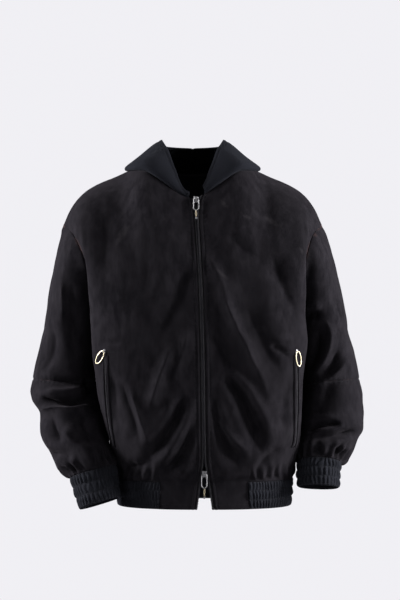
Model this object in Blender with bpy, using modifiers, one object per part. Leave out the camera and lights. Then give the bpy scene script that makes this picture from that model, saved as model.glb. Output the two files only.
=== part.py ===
"""Hooded suede blouson with a knitted hood, in its worn shape, as thin-walled pieces at real size.

Metres, +Z up, the front faces -Y. The origin is the middle of the wearer's shoulders at the
base of the neck, where the garment hangs. Left and right are the wearer's: left is +X.
"""
import math
from collections import namedtuple

import bmesh
import bpy
import numpy as np
from mathutils import Matrix, Vector

RIGHT, LEFT = -1, 1
FRONT, BACK = -1, 1
NAMES = {RIGHT: "right", LEFT: "left"}

CLOTH = 0.0024            # suede with its knitted reverse side
SEAM = 0.00018            # half of the gap between two pieces at a seam
UNDERARM_Z = -0.290
BAND_TOP_Z = -0.625
HEM_Z = -0.680
NECK_X = -0.011           # the neck stands a little to the right of the zip
HEM_GATHERS = 34          # on each half of the band
CUFF_GATHERS = 26
CHANNELS = 3              # elastic channels of each band and cuff

for old in list(bpy.data.objects):
    bpy.data.objects.remove(old)

# The worn shape, in tables

ZipLine = namedtuple("ZipLine", "z x reach")
ZIP_LINE = [              # middle of the zip, and how far from it each front's edge stays
    ZipLine(-0.052, -0.0040, 0.0165),
    ZipLine(-0.058, -0.0038, 0.0125),
    ZipLine(-0.067, -0.0036, 0.0088),
    ZipLine(-0.108, -0.0020, 0.0070),
    ZipLine(-0.162, 0.0013, 0.0066),
    ZipLine(-0.237, 0.0055, 0.0064),
    ZipLine(-0.322, 0.0080, 0.0064),
    ZipLine(-0.423, 0.0100, 0.0064),
    ZipLine(-0.503, 0.0110, 0.0064),
    ZipLine(-0.574, 0.0120, 0.0068),
    ZipLine(-0.603, 0.0125, 0.0098),
    ZipLine(-0.630, 0.0130, 0.0140),
    ZipLine(-0.680, 0.0134, 0.0208),
]

Torso = namedtuple("Torso", "z right_half left_half front back square back_square press")
TORSO = [
    Torso(-0.200, 0.2280, 0.2150, 0.148, 0.146, 3.8, 2.6, 0.040),
    Torso(-0.290, 0.2235, 0.2080, 0.152, 0.150, 3.8, 2.6, 0.044),
    Torso(-0.340, 0.2230, 0.2100, 0.155, 0.152, 3.8, 2.5, 0.042),
    Torso(-0.420, 0.2160, 0.2010, 0.157, 0.155, 3.6, 2.5, 0.036),
    Torso(-0.500, 0.2025, 0.1980, 0.158, 0.158, 3.2, 2.5, 0.026),
    Torso(-0.545, 0.1910, 0.1950, 0.158, 0.160, 2.8, 2.4, 0.016),
    Torso(-0.585, 0.1820, 0.1870, 0.155, 0.158, 2.5, 2.4, 0.008),
    Torso(-0.610, 0.1790, 0.1835, 0.146, 0.150, 2.4, 2.4, 0.003),
    Torso(-0.625, 0.1790, 0.1795, 0.134, 0.139, 2.4, 2.4, 0.0),
    Torso(-0.680, 0.1760, 0.1755, 0.130, 0.135, 2.4, 2.4, 0.0),
]
PRESS_REACH = 0.060       # how far the arm's pressure on the side spreads to front and back

Shoulder = namedtuple("Shoulder", "share out z")
SHOULDER = [
    Shoulder(0.00, 0.1335, 0.0015),
    Shoulder(0.20, 0.160, -0.0105),
    Shoulder(0.40, 0.187, -0.0214),
    Shoulder(0.60, 0.214, -0.0362),
    Shoulder(0.75, 0.235, -0.0550),
    Shoulder(0.88, 0.2525, -0.0800),
    Shoulder(1.00, 0.267, -0.1130),
]

# Columns of cloth from the top edge to the underarm level: where each meets the underarm ring,
# and the two handles that give its curve
NECK_SHARE = 0.45
Column = namedtuple("Column", "share ring leave_x leave_y leave_z arrive_x arrive_y arrive_z")
COLUMNS = {
    FRONT: [
        Column(0.00, 0.000, 0.000, -0.030, -0.062, 0.000, -0.004, -0.085),
        Column(0.18, 0.150, 0.008, -0.042, -0.050, 0.000, -0.002, -0.085),
        Column(0.36, 0.310, 0.006, -0.072, -0.026, 0.000, 0.000, -0.090),
        Column(0.45, 0.385, 0.004, -0.085, -0.020, 0.000, 0.004, -0.095),
        Column(0.65, 0.550, 0.000, -0.105, -0.018, 0.000, 0.010, -0.095),
        Column(0.80, 0.690, -0.004, -0.125, -0.014, 0.000, 0.035, -0.090),
        Column(0.92, 0.860, -0.020, -0.142, -0.006, -0.014, 0.085, -0.080),
        Column(1.00, 1.000, -0.045, -0.148, -0.005, -0.040, 0.118, -0.072),
    ],
    BACK: [
        Column(0.00, 0.000, 0.000, 0.032, -0.045, 0.000, 0.006, -0.100),
        Column(0.18, 0.150, 0.006, 0.042, -0.038, 0.000, 0.004, -0.095),
        Column(0.36, 0.310, 0.006, 0.066, -0.026, 0.000, 0.000, -0.090),
        Column(0.45, 0.385, 0.004, 0.080, -0.020, 0.000, 0.000, -0.090),
        Column(0.65, 0.550, 0.000, 0.100, -0.018, 0.000, -0.010, -0.095),
        Column(0.80, 0.690, -0.004, 0.118, -0.014, 0.000, -0.034, -0.090),
        Column(0.92, 0.860, -0.016, 0.134, -0.010, -0.010, -0.084, -0.080),
        Column(1.00, 1.000, -0.036, 0.140, -0.012, -0.034, -0.112, -0.072),
    ],
}

# Rings of the sleeves: a centre, half sizes, and how the axis leans in and pitches forward
Ring = namedtuple("Ring", "q x y z wide deep lean pitch")
SLEEVE = {
    RIGHT: [
        Ring(1.00, 0.2600, 0.020, -0.330, 0.0565, 0.082, -8, 0),
        Ring(1.15, 0.2675, 0.022, -0.380, 0.0620, 0.081, -8, 0),
        Ring(1.32, 0.2740, 0.020, -0.430, 0.0660, 0.080, -5, 2),
        Ring(1.44, 0.2730, 0.008, -0.465, 0.0685, 0.079, 0, 6),
        Ring(1.54, 0.2610, -0.006, -0.492, 0.0610, 0.073, 3, 9),
        Ring(1.67, 0.2570, -0.024, -0.528, 0.0640, 0.072, 5, 12),
        Ring(1.79, 0.2450, -0.044, -0.560, 0.0570, 0.064, 9, 13),
        Ring(1.92, 0.2290, -0.066, -0.589, 0.0560, 0.056, 13, 12),
        Ring(2.00, 0.2115, -0.080, -0.608, 0.0470, 0.042, 15, 10),
    ],
    LEFT: [
        Ring(1.00, 0.2560, 0.020, -0.330, 0.0525, 0.082, -9, 0),
        Ring(1.15, 0.2640, 0.022, -0.380, 0.0590, 0.081, -8, 0),
        Ring(1.32, 0.2690, 0.020, -0.430, 0.0625, 0.080, -5, 3),
        Ring(1.48, 0.2725, 0.012, -0.480, 0.0655, 0.079, 0, 8),
        Ring(1.62, 0.2710, -0.002, -0.520, 0.0655, 0.075, 3, 14),
        Ring(1.74, 0.2645, -0.014, -0.545, 0.0595, 0.069, 4, 20),
        Ring(1.86, 0.2575, -0.028, -0.567, 0.0550, 0.059, 3, 22),
        Ring(2.00, 0.2450, -0.046, -0.592, 0.0435, 0.041, 2, 20),
    ],
}
SLEEVE_SQUARE = 2.3
ELBOW_SEAM = 1.32

# End ring of each elastic cuff, which starts on the sleeve's last ring
CUFF_END = {
    RIGHT: Ring(3.0, 0.1970, -0.098, -0.670, 0.0410, 0.037, 17, 9),
    LEFT: Ring(3.0, 0.2430, -0.066, -0.640, 0.0400, 0.037, 2, 12),
}

# How the sleeve leaves the armhole: top, front, underarm, back
Leave = namedtuple("Leave", "turn out y z reach")
SLEEVE_LEAVE = [
    Leave(0.00, 0.017, 0.000, -0.052, 0.055),
    Leave(0.125, 0.032, -0.008, -0.034, 0.050),
    Leave(0.25, 0.034, 0.008, -0.026, 0.036),
    Leave(0.40, 0.014, 0.006, -0.014, 0.018),
    Leave(0.50, 0.006, 0.000, -0.010, 0.012),
    Leave(0.60, 0.014, -0.006, -0.014, 0.018),
    Leave(0.75, 0.034, -0.006, -0.026, 0.036),
    Leave(0.875, 0.032, 0.010, -0.034, 0.050),
    Leave(1.00, 0.017, 0.000, -0.052, 0.055),
]

# Sections of the hood, which lies back open: round the neck from the zip to the centre back,
# each drawn by its neck seam, rise, low fold, belly, crest and opening edge
Hood = namedtuple("Hood", "turn seam_r seam_z rise_r rise_z low_r low_z"
                          " belly_r belly_z crest_r crest_z edge_r edge_z")
HOOD = [
    Hood(0, 0.0900, -0.0575, 0.0905, -0.0550, 0.0905, -0.0535, 0.0900, -0.0515,
         0.0890, -0.0500, 0.0880, -0.0490),
    Hood(10, 0.0925, -0.0535, 0.0935, -0.0505, 0.0935, -0.0485, 0.0920, -0.0455,
         0.0900, -0.0425, 0.0870, -0.0410),
    Hood(30, 0.1020, -0.0310, 0.1060, -0.0260, 0.1060, -0.0200, 0.1000, -0.0090,
         0.0860, 0.0020, 0.0725, 0.0040),
    Hood(55, 0.1220, -0.0010, 0.1280, 0.0040, 0.1270, 0.0110, 0.1150, 0.0250,
         0.0840, 0.0440, 0.0640, 0.0475),
    Hood(90, 0.1335, 0.0015, 0.1400, 0.0050, 0.1370, 0.0120, 0.1120, 0.0250,
         0.0790, 0.0570, 0.0620, 0.0650),
    Hood(115, 0.1280, 0.0060, 0.1400, 0.0110, 0.1470, -0.0100, 0.1400, 0.0010,
         0.0970, 0.0500, 0.0730, 0.0650),
    Hood(140, 0.1120, 0.0050, 0.1300, 0.0150, 0.1650, -0.0700, 0.1980, -0.0500,
         0.1430, 0.0360, 0.1010, 0.0590),
    Hood(160, 0.1030, 0.0010, 0.1240, 0.0140, 0.1780, -0.1400, 0.2300, -0.1100,
         0.1830, 0.0480, 0.1210, 0.0570),
    Hood(180, 0.1000, -0.0010, 0.1220, 0.0130, 0.1820, -0.1650, 0.2380, -0.1300,
         0.1940, 0.0460, 0.1280, 0.0560),
]

# The largest folds, seen from the front: troughs have a positive depth, ridges a negative one
Fold = namedtuple("Fold", "x0 z0 x1 z1 width depth")
BODY_FOLDS = {
    FRONT: [
        Fold(-0.014, -0.470, -0.088, -0.598, 0.0110, 0.0070),
        Fold(-0.010, -0.538, -0.052, -0.622, 0.0100, 0.0050),
        Fold(-0.034, -0.360, -0.094, -0.486, 0.0150, -0.0045),
        Fold(-0.020, -0.205, -0.075, -0.380, 0.0240, 0.0040),
        Fold(-0.138, -0.430, -0.122, -0.504, 0.0120, 0.0040),
        Fold(0.066, -0.424, 0.136, -0.540, 0.0120, 0.0070),
        Fold(0.136, -0.540, 0.142, -0.598, 0.0100, 0.0050),
        Fold(0.050, -0.305, 0.128, -0.450, 0.0160, -0.0045),
        Fold(0.038, -0.415, 0.054, -0.470, 0.0110, 0.0040),
        Fold(0.038, -0.530, 0.072, -0.622, 0.0110, 0.0050),
        Fold(0.026, -0.186, 0.066, -0.294, 0.0170, 0.0040),
        Fold(0.146, -0.168, 0.176, -0.244, 0.0150, 0.0040),
    ],
    BACK: [
        Fold(-0.020, -0.480, -0.092, -0.600, 0.0130, 0.0060),
        Fold(0.030, -0.400, 0.118, -0.560, 0.0150, 0.0060),
        Fold(-0.130, -0.250, -0.060, -0.420, 0.0200, 0.0050),
        Fold(0.150, -0.240, 0.080, -0.380, 0.0180, 0.0045),
        Fold(-0.140, -0.470, -0.120, -0.590, 0.0130, 0.0050),
        Fold(0.060, -0.500, 0.040, -0.615, 0.0130, 0.0050),
    ],
}
SLEEVE_FOLDS = {
    (RIGHT, FRONT): [
        Fold(-0.330, -0.466, -0.200, -0.474, 0.0110, 0.0100),
        Fold(-0.325, -0.488, -0.195, -0.486, 0.0090, -0.0040),
        Fold(-0.285, -0.576, -0.185, -0.570, 0.0090, 0.0070),
        Fold(-0.275, -0.215, -0.270, -0.290, 0.0120, -0.0040),
    ],
    (LEFT, FRONT): [
        Fold(0.300, -0.392, 0.232, -0.444, 0.0100, -0.0060),
        Fold(0.300, -0.372, 0.262, -0.380, 0.0110, 0.0060),
        Fold(0.300, -0.512, 0.200, -0.524, 0.0090, 0.0080),
        Fold(0.320, -0.520, 0.215, -0.545, 0.0080, 0.0060),
        Fold(0.214, -0.222, 0.252, -0.276, 0.0120, 0.0050),
    ],
    (RIGHT, BACK): [
        Fold(-0.335, -0.450, -0.200, -0.480, 0.0120, 0.0090),
        Fold(-0.320, -0.520, -0.200, -0.545, 0.0100, 0.0070),
    ],
    (LEFT, BACK): [
        Fold(0.335, -0.455, 0.205, -0.485, 0.0120, 0.0090),
        Fold(0.320, -0.530, 0.210, -0.552, 0.0100, 0.0070),
    ],
}


# Curves and grids

def between(rows, name, at):
    """Value of a named column at a key, on a smooth curve that never overshoots its rows."""
    ordered = sorted(rows, key=lambda row: row[0])
    keys = [row[0] for row in ordered]
    values = [getattr(row, name) for row in ordered]
    if at <= keys[0]:
        return values[0]
    if at >= keys[-1]:
        return values[-1]
    i = max(k for k in range(len(keys) - 1) if keys[k] <= at)
    rise = [(values[k + 1] - values[k]) / (keys[k + 1] - keys[k]) for k in range(len(keys) - 1)]

    def slope(k):
        if k == 0:
            return rise[0]
        if k == len(keys) - 1:
            return rise[-1]
        if rise[k - 1] * rise[k] <= 0.0:
            return 0.0
        return 2.0 * rise[k - 1] * rise[k] / (rise[k - 1] + rise[k])

    span = keys[i + 1] - keys[i]
    t = (at - keys[i]) / span
    low, high = slope(i) * span, slope(i + 1) * span
    return (values[i] * (1 + 2 * t) * (1 - t) ** 2 + low * t * (1 - t) ** 2
            + values[i + 1] * t * t * (3 - 2 * t) - high * t * t * (1 - t))


def along(points, shares):
    """Points of a polyline at shares of its length."""
    steps = np.linalg.norm(np.diff(points, axis=0), axis=1)
    length = np.concatenate([[0.0], np.cumsum(steps)])
    wanted = np.asarray(shares) * length[-1]
    return np.stack([np.interp(wanted, length, points[:, k]) for k in range(3)], axis=1)


def bezier(start, leave, arrive, end, shares):
    t = np.asarray(shares)[:, None]
    a, b, c, d = (np.asarray(p, float) for p in (start, np.add(start, leave),
                                                 np.subtract(end, arrive), end))
    return a * (1 - t) ** 3 + 3 * b * t * (1 - t) ** 2 + 3 * c * t * t * (1 - t) + d * t ** 3


def unit(vectors):
    return vectors / np.maximum(np.linalg.norm(vectors, axis=-1, keepdims=True), 1e-9)


def normals_of(grid, closed=False, flip=1.0):
    """Unit normals of a grid of points."""
    if closed:
        wide = np.concatenate([grid[:, -1:], grid, grid[:, :1]], axis=1)
        across = np.gradient(wide, axis=1)[:, 1:-1]
    else:
        across = np.gradient(grid, axis=1)
    return unit(np.cross(across, np.gradient(grid, axis=0))) * flip


FADE = 0.35               # share of a fold's length over which each end dies away


def fold_depth(x, z, folds):
    """Depth of all folds at a place in the front view."""
    depth = np.zeros_like(x)
    for fold in folds:
        run = np.array([fold.x1 - fold.x0, fold.z1 - fold.z0])
        length = np.linalg.norm(run)
        run = run / length
        ahead = (x - fold.x0) * run[0] + (z - fold.z0) * run[1]
        aside = (x - fold.x0) * run[1] - (z - fold.z0) * run[0]
        past = np.maximum(np.maximum(-ahead, ahead - length), 0.0)
        ends = np.clip(np.minimum(ahead, length - ahead) / (FADE * length), 0.0, 1.0)
        taper = np.where(past > 0.0, 0.0, ends * ends * (3 - 2 * ends))
        depth += fold.depth * taper * np.exp(-(aside / fold.width) ** 2)
    return depth


def calm(count, near=1):
    """Weights that keep the first and last rows of a grid still."""
    steps = np.minimum(np.arange(count), np.arange(count)[::-1])
    return np.clip(steps / near, 0.0, 1.0)


# The surface of the body

def zip_x(z):
    return between(ZIP_LINE, "x", z)


def ring_line(side, face, z):
    """Half of the torso's outline at a height, from the middle round to the side."""
    half = between(TORSO, "right_half" if side == RIGHT else "left_half", z)
    t = np.linspace(0.0, math.pi / 2, 241)
    lines = {}
    for which, square in ((FRONT, "square"), (BACK, "back_square")):
        power = 2 / between(TORSO, square, z)
        y = np.cos(t) ** power * between(TORSO, "front" if which == FRONT else "back", z)
        y[-1] = 0.0
        x = np.sin(t) ** power * half
        lines[which] = (x - between(TORSO, "press", z) * np.exp(-(y / PRESS_REACH) ** 2), y)
    x, y = lines[face]
    x = np.maximum(x, 0.0) * half / lines[FRONT][0].max()
    if face == FRONT:
        start = between(ZIP_LINE, "reach", z)
        inner_y = np.interp(start, x[:100], y[:100])
        keep = x > start + 1e-5
        x = np.concatenate([[start], x[keep]])
        y = np.concatenate([[inner_y], y[keep]])
    return np.stack([zip_x(z) + side * x, face * y, np.full(len(x), z)], axis=1)


def neck_point(side, turn):
    r, z = between(HOOD, "seam_r", turn), between(HOOD, "seam_z", turn)
    angle = math.radians(turn)
    return np.array([NECK_X + side * r * math.sin(angle), -r * math.cos(angle), z])


def neck_start(side):
    """Turn at which a front's edge meets the neckline."""
    turn = 8.0
    for _ in range(12):
        r, z = between(HOOD, "seam_r", turn), between(HOOD, "seam_z", turn)
        edge = zip_x(z) + side * between(ZIP_LINE, "reach", z)
        turn = math.degrees(math.asin(side * (edge - NECK_X) / r))
    return turn


def neck_turns(side, face, count):
    if face == FRONT:
        return np.linspace(neck_start(side), 90.0, count)
    return np.linspace(180.0, 90.0, count)


NECK_STEPS, SHOULDER_STEPS, UPPER_ROWS, LOWER_ROWS = 5, 8, 10, 13
COLUMN_SHARES = np.concatenate([np.linspace(0.0, NECK_SHARE, NECK_STEPS + 1),
                                np.linspace(NECK_SHARE, 1.0, SHOULDER_STEPS + 1)[1:]])
TAB_COLUMN = 4
SHOULDER_BACK = 0.008     # the shoulder's point lies behind the neck's side
EDGE_REACH = 0.3          # share of a front that bends with the zip's line
EDGE_FOLD = 0.3           # how much of a fold reaches the zip's edge
LOWER_Z = np.linspace(UNDERARM_Z, BAND_TOP_Z, LOWER_ROWS)
TAB_Z = np.array([-0.6525, HEM_Z])


def top_point(side, face, share):
    if share <= NECK_SHARE:
        ends = neck_turns(side, face, 2)
        return neck_point(side, ends[0] + (ends[1] - ends[0]) * share / NECK_SHARE)
    part = (share - NECK_SHARE) / (1 - NECK_SHARE)
    return np.array([NECK_X + side * between(SHOULDER, "out", part), SHOULDER_BACK * part,
                     between(SHOULDER, "z", part)])


def panel_grid(side, face):
    """Outer points of a quarter of the body: rows go down, columns from the middle to the side."""
    rings = [between(COLUMNS[face], "ring", share) for share in COLUMN_SHARES]
    base = along(ring_line(side, face, UNDERARM_Z), rings)
    upper = np.zeros((UPPER_ROWS, len(COLUMN_SHARES), 3))
    steps = np.linspace(0.0, 1.0, UPPER_ROWS + 1)[:-1]
    for i, share in enumerate(COLUMN_SHARES):
        leave, arrive = (np.array([between(COLUMNS[face], f"{which}_{axis}", share)
                                   for axis in "xyz"]) * (side, 1, 1)
                         for which in ("leave", "arrive"))
        upper[:, i] = bezier(top_point(side, face, share), leave, arrive, base[i], steps)
    if face == FRONT:
        for row in upper:
            edge = zip_x(row[0, 2]) + side * between(ZIP_LINE, "reach", row[0, 2])
            row[:, 0] += (edge - row[0, 0]) * np.clip(1 - COLUMN_SHARES / EDGE_REACH, 0, 1) ** 2
    heights = np.concatenate([LOWER_Z, TAB_Z])
    lower = np.stack([along(ring_line(side, face, z), rings) for z in heights])
    grid = np.concatenate([upper, lower])
    normals = normals_of(grid, flip=side * face)
    rows, columns = grid.shape[:2]
    weight = np.ones((rows, columns))
    weight[:2] = 0.0
    weight[UPPER_ROWS + LOWER_ROWS - 1:] = 0.0
    weight[:, -2:] = 0.0
    if face == FRONT:
        weight[:, 0] = EDGE_FOLD
    depth = fold_depth(grid[..., 0], grid[..., 2], BODY_FOLDS[face])
    return grid - normals * (depth * weight)[..., None]


PINCH_FROM, PINCH_GAIN, PINCH_MOST = 0.7, 1.2, 1.3    # how a sharp seam draws its edges in
LEAST_LEAN = 0.7          # keeps a slanting raw edge from growing long


def blend_edge(a_normal, a_into, b_normal, b_into):
    """Shared outward direction at a seam, and how far each side's edge is drawn in as well."""
    facing = np.sum(a_normal * b_normal, axis=-1, keepdims=True)
    pinch = np.clip(PINCH_GAIN * (PINCH_FROM - facing), 0.0, PINCH_MOST)
    out = unit(a_normal + b_normal + pinch * (a_into + b_into))
    lean = np.maximum(np.abs(np.sum(out * a_normal, axis=-1, keepdims=True)), LEAST_LEAN)
    return out / lean, pinch


# Solids from grids

def new_collection(name):
    made = bpy.data.collections.new(name)
    bpy.context.scene.collection.children.link(made)
    return made


JACKET = new_collection("reversible_jacket")


def material(name, colour, rough, metallic=0.0, sheen=0.0):
    made = bpy.data.materials.new(name)
    made.use_nodes = True
    shader = made.node_tree.nodes["Principled BSDF"]
    shader.inputs["Base Color"].default_value = (*colour, 1.0)
    shader.inputs["Roughness"].default_value = rough
    shader.inputs["Metallic"].default_value = metallic
    shader.inputs["Sheen Weight"].default_value = sheen
    made.diffuse_color = (*colour, 1.0)
    return made


SUEDE = (0.020, 0.018, 0.018)
JERSEY = (0.017, 0.018, 0.022)
STEEL = (0.62, 0.61, 0.60)
PALE_GOLD = (0.68, 0.58, 0.40)


def finish_object(name, mesh, surface):
    mesh.materials.append(surface)
    mesh.shade_smooth()
    made = bpy.data.objects.new(name, mesh)
    JACKET.objects.link(made)
    return made


def wall(name, outer, inward, surface, cells=None, closed=False, pinch=None):
    """Closed thin wall between a grid of outer points and the points inward of it.

    Every free edge is drawn in by half a seam's gap, so that pieces that share an edge
    stay just apart.
    """
    rows, columns = outer.shape[:2]
    wide = columns if closed else columns - 1
    if cells is None:
        cells = np.ones((rows - 1, wide), bool)
    corners, count = {}, {}
    for r in range(rows - 1):
        for c in range(wide):
            if not cells[r, c]:
                continue
            after = (c + 1) % columns
            quad = [(r, c), (r, after), (r + 1, after), (r + 1, c)]
            corners[r, c] = quad
            for k in range(4):
                edge = frozenset((quad[k], quad[(k + 1) % 4]))
                count.setdefault(edge, []).append((r, c))
    draws = {}
    for edge, owners in count.items():
        if len(owners) == 1:
            a, b = tuple(edge)
            centre = sum(outer[k] for k in corners[owners[0]]) / 4
            line = unit(outer[b] - outer[a])
            into = centre - outer[a]
            into = unit(into - line * np.dot(into, line))
            draws.setdefault(a, []).append(into)
            draws.setdefault(b, []).append(into)
    moved, inside = outer.copy(), np.zeros_like(outer)
    plain = outer - inward
    inside[:] = plain
    for key, list_of in draws.items():
        first, last = list_of[0], list_of[-1]
        step = (first + last) / (1 + max(np.dot(first, last), -0.5)) * SEAM
        if pinch is not None:
            step = step + pinch[key] * SEAM
        moved[key] = outer[key] + step
        inside[key] = plain[key] + step
    used = sorted({corner for quad in corners.values() for corner in quad})
    index = {key: i for i, key in enumerate(used)}
    total = len(used)
    points = [tuple(moved[key]) for key in used] + [tuple(inside[key]) for key in used]
    faces = []
    for quad in corners.values():
        faces.append([index[k] for k in quad])
        faces.append([index[k] + total for k in reversed(quad)])
    for edge, owners in count.items():
        if len(owners) == 1:
            a, b = tuple(edge)
            faces.append([index[a], index[b], index[b] + total, index[a] + total])
    mesh = bpy.data.meshes.new(name)
    mesh.from_pydata(points, [], faces)
    body = bmesh.new()
    body.from_mesh(mesh)
    bmesh.ops.recalc_face_normals(body, faces=body.faces[:])
    body.to_mesh(mesh)
    body.free()
    return finish_object(name, mesh, surface)


# The sleeves and the hood as grids

HEAD_STEPS, UPPER_SLEEVE, LOWER_SLEEVE = 3, 3, 10


def ring_points(side, centre, wide, deep, lean, pitch, turns):
    tilt, nod = math.radians(lean), math.radians(pitch)
    out = np.array([side * math.cos(tilt), 0.0, -math.sin(tilt)])
    ahead = np.array([0.0, -math.cos(nod), math.sin(nod)])
    angle = 2 * math.pi * np.asarray(turns)
    power = 2 / SLEEVE_SQUARE
    across = np.sign(np.cos(angle)) * np.abs(np.cos(angle)) ** power * wide
    along_y = np.sign(np.sin(angle)) * np.abs(np.sin(angle)) ** power * deep
    return np.asarray(centre) + across[:, None] * out + along_y[:, None] * ahead


def ring_at(side, q, turns):
    rows = SLEEVE[side]
    values = {name: between(rows, name, q) for name in Ring._fields[1:]}
    centre = (side * values["x"], values["y"], values["z"])
    return ring_points(side, centre, values["wide"], values["deep"], values["lean"],
                       values["pitch"], turns)


def sleeve_grid(side, front, back):
    """Outer points of a sleeve: rows go down from the armhole, columns run round from the top."""
    armhole = np.concatenate([front, back[-2:0:-1]])
    around = len(armhole)
    turns = np.arange(around) / around
    first = ring_at(side, 1.0, turns)
    below = ring_at(side, 1.05, turns)
    down = unit((below - first).mean(axis=0))
    leave = np.array([[side * between(SLEEVE_LEAVE, "out", t), between(SLEEVE_LEAVE, "y", t),
                       between(SLEEVE_LEAVE, "z", t)] for t in turns])
    reach = np.array([between(SLEEVE_LEAVE, "reach", t) for t in turns])
    rows = []
    for step in np.linspace(0.0, 1.0, HEAD_STEPS + 1)[:-1]:
        rows.append(np.stack([bezier(armhole[i], leave[i], down * reach[i], first[i], [step])[0]
                              for i in range(around)]))
    stations = np.concatenate([np.linspace(1.0, ELBOW_SEAM, UPPER_SLEEVE + 1),
                               np.linspace(ELBOW_SEAM, 2.0, LOWER_SLEEVE + 1)[1:]])
    rows += [ring_at(side, q, turns) for q in stations]
    grid = np.stack(rows)
    normals = normals_of(grid, closed=True, flip=side)
    facing = np.abs(np.sin(2 * math.pi * turns))[None, :]
    for face, chosen in ((FRONT, turns < 0.5), (BACK, turns > 0.5)):
        depth = fold_depth(grid[..., 0], grid[..., 2], SLEEVE_FOLDS[side, face])
        depth = depth * calm(len(grid), 2)[:, None] * facing * chosen[None, :]
        grid = grid - normals * depth[..., None]
    return grid


HOOD_STEPS = 11


def spline(points, shares):
    """Points on a clamped smooth curve drawn by a few leading points."""
    inner = np.linspace(0.0, 1.0, len(points) - 2)
    knots = np.concatenate([[0.0] * 3, inner, [1.0] * 3])
    made = []
    for share in np.clip(shares, 0.0, 1.0 - 1e-9):
        k = int(np.searchsorted(knots, share, side="right")) - 1
        work = [np.array(points[j + k - 3], float) for j in range(4)]
        for level in range(1, 4):
            for j in range(3, level - 1, -1):
                low, high = knots[j + k - 3], knots[j + 1 + k - level]
                part = (share - low) / (high - low)
                work[j] = work[j - 1] * (1 - part) + work[j] * part
        made.append(work[3])
    return np.array(made)


def hood_grid(side):
    """Outer points of half a hood: rows rise from the neck seam, columns run zip to back."""
    turns = np.concatenate([neck_turns(side, FRONT, NECK_STEPS + 1),
                            neck_turns(side, BACK, NECK_STEPS + 1)[::-1][1:]])
    columns = []
    for turn in turns:
        angle = math.radians(turn)
        leading = []
        for name in ("seam", "rise", "low", "belly", "crest", "edge"):
            r, z = between(HOOD, name + "_r", turn), between(HOOD, name + "_z", turn)
            leading.append((NECK_X + side * r * math.sin(angle), -r * math.cos(angle), z))
        dense = spline(leading, np.linspace(0.0, 1.0, 120))
        columns.append(along(dense, np.linspace(0.0, 1.0, HOOD_STEPS + 1)))
    return np.stack(columns, axis=1)


def into_rows(grid, first, second):
    return unit(grid[second] - grid[first])


# Outer points and inward vectors of every cloth piece

PANEL, PANEL_IN, PANEL_PINCH = {}, {}, {}
for side in (RIGHT, LEFT):
    for face in (FRONT, BACK):
        PANEL[side, face] = panel_grid(side, face)
        PANEL_IN[side, face] = normals_of(PANEL[side, face], flip=side * face)
        PANEL_PINCH[side, face] = np.zeros_like(PANEL[side, face])

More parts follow.
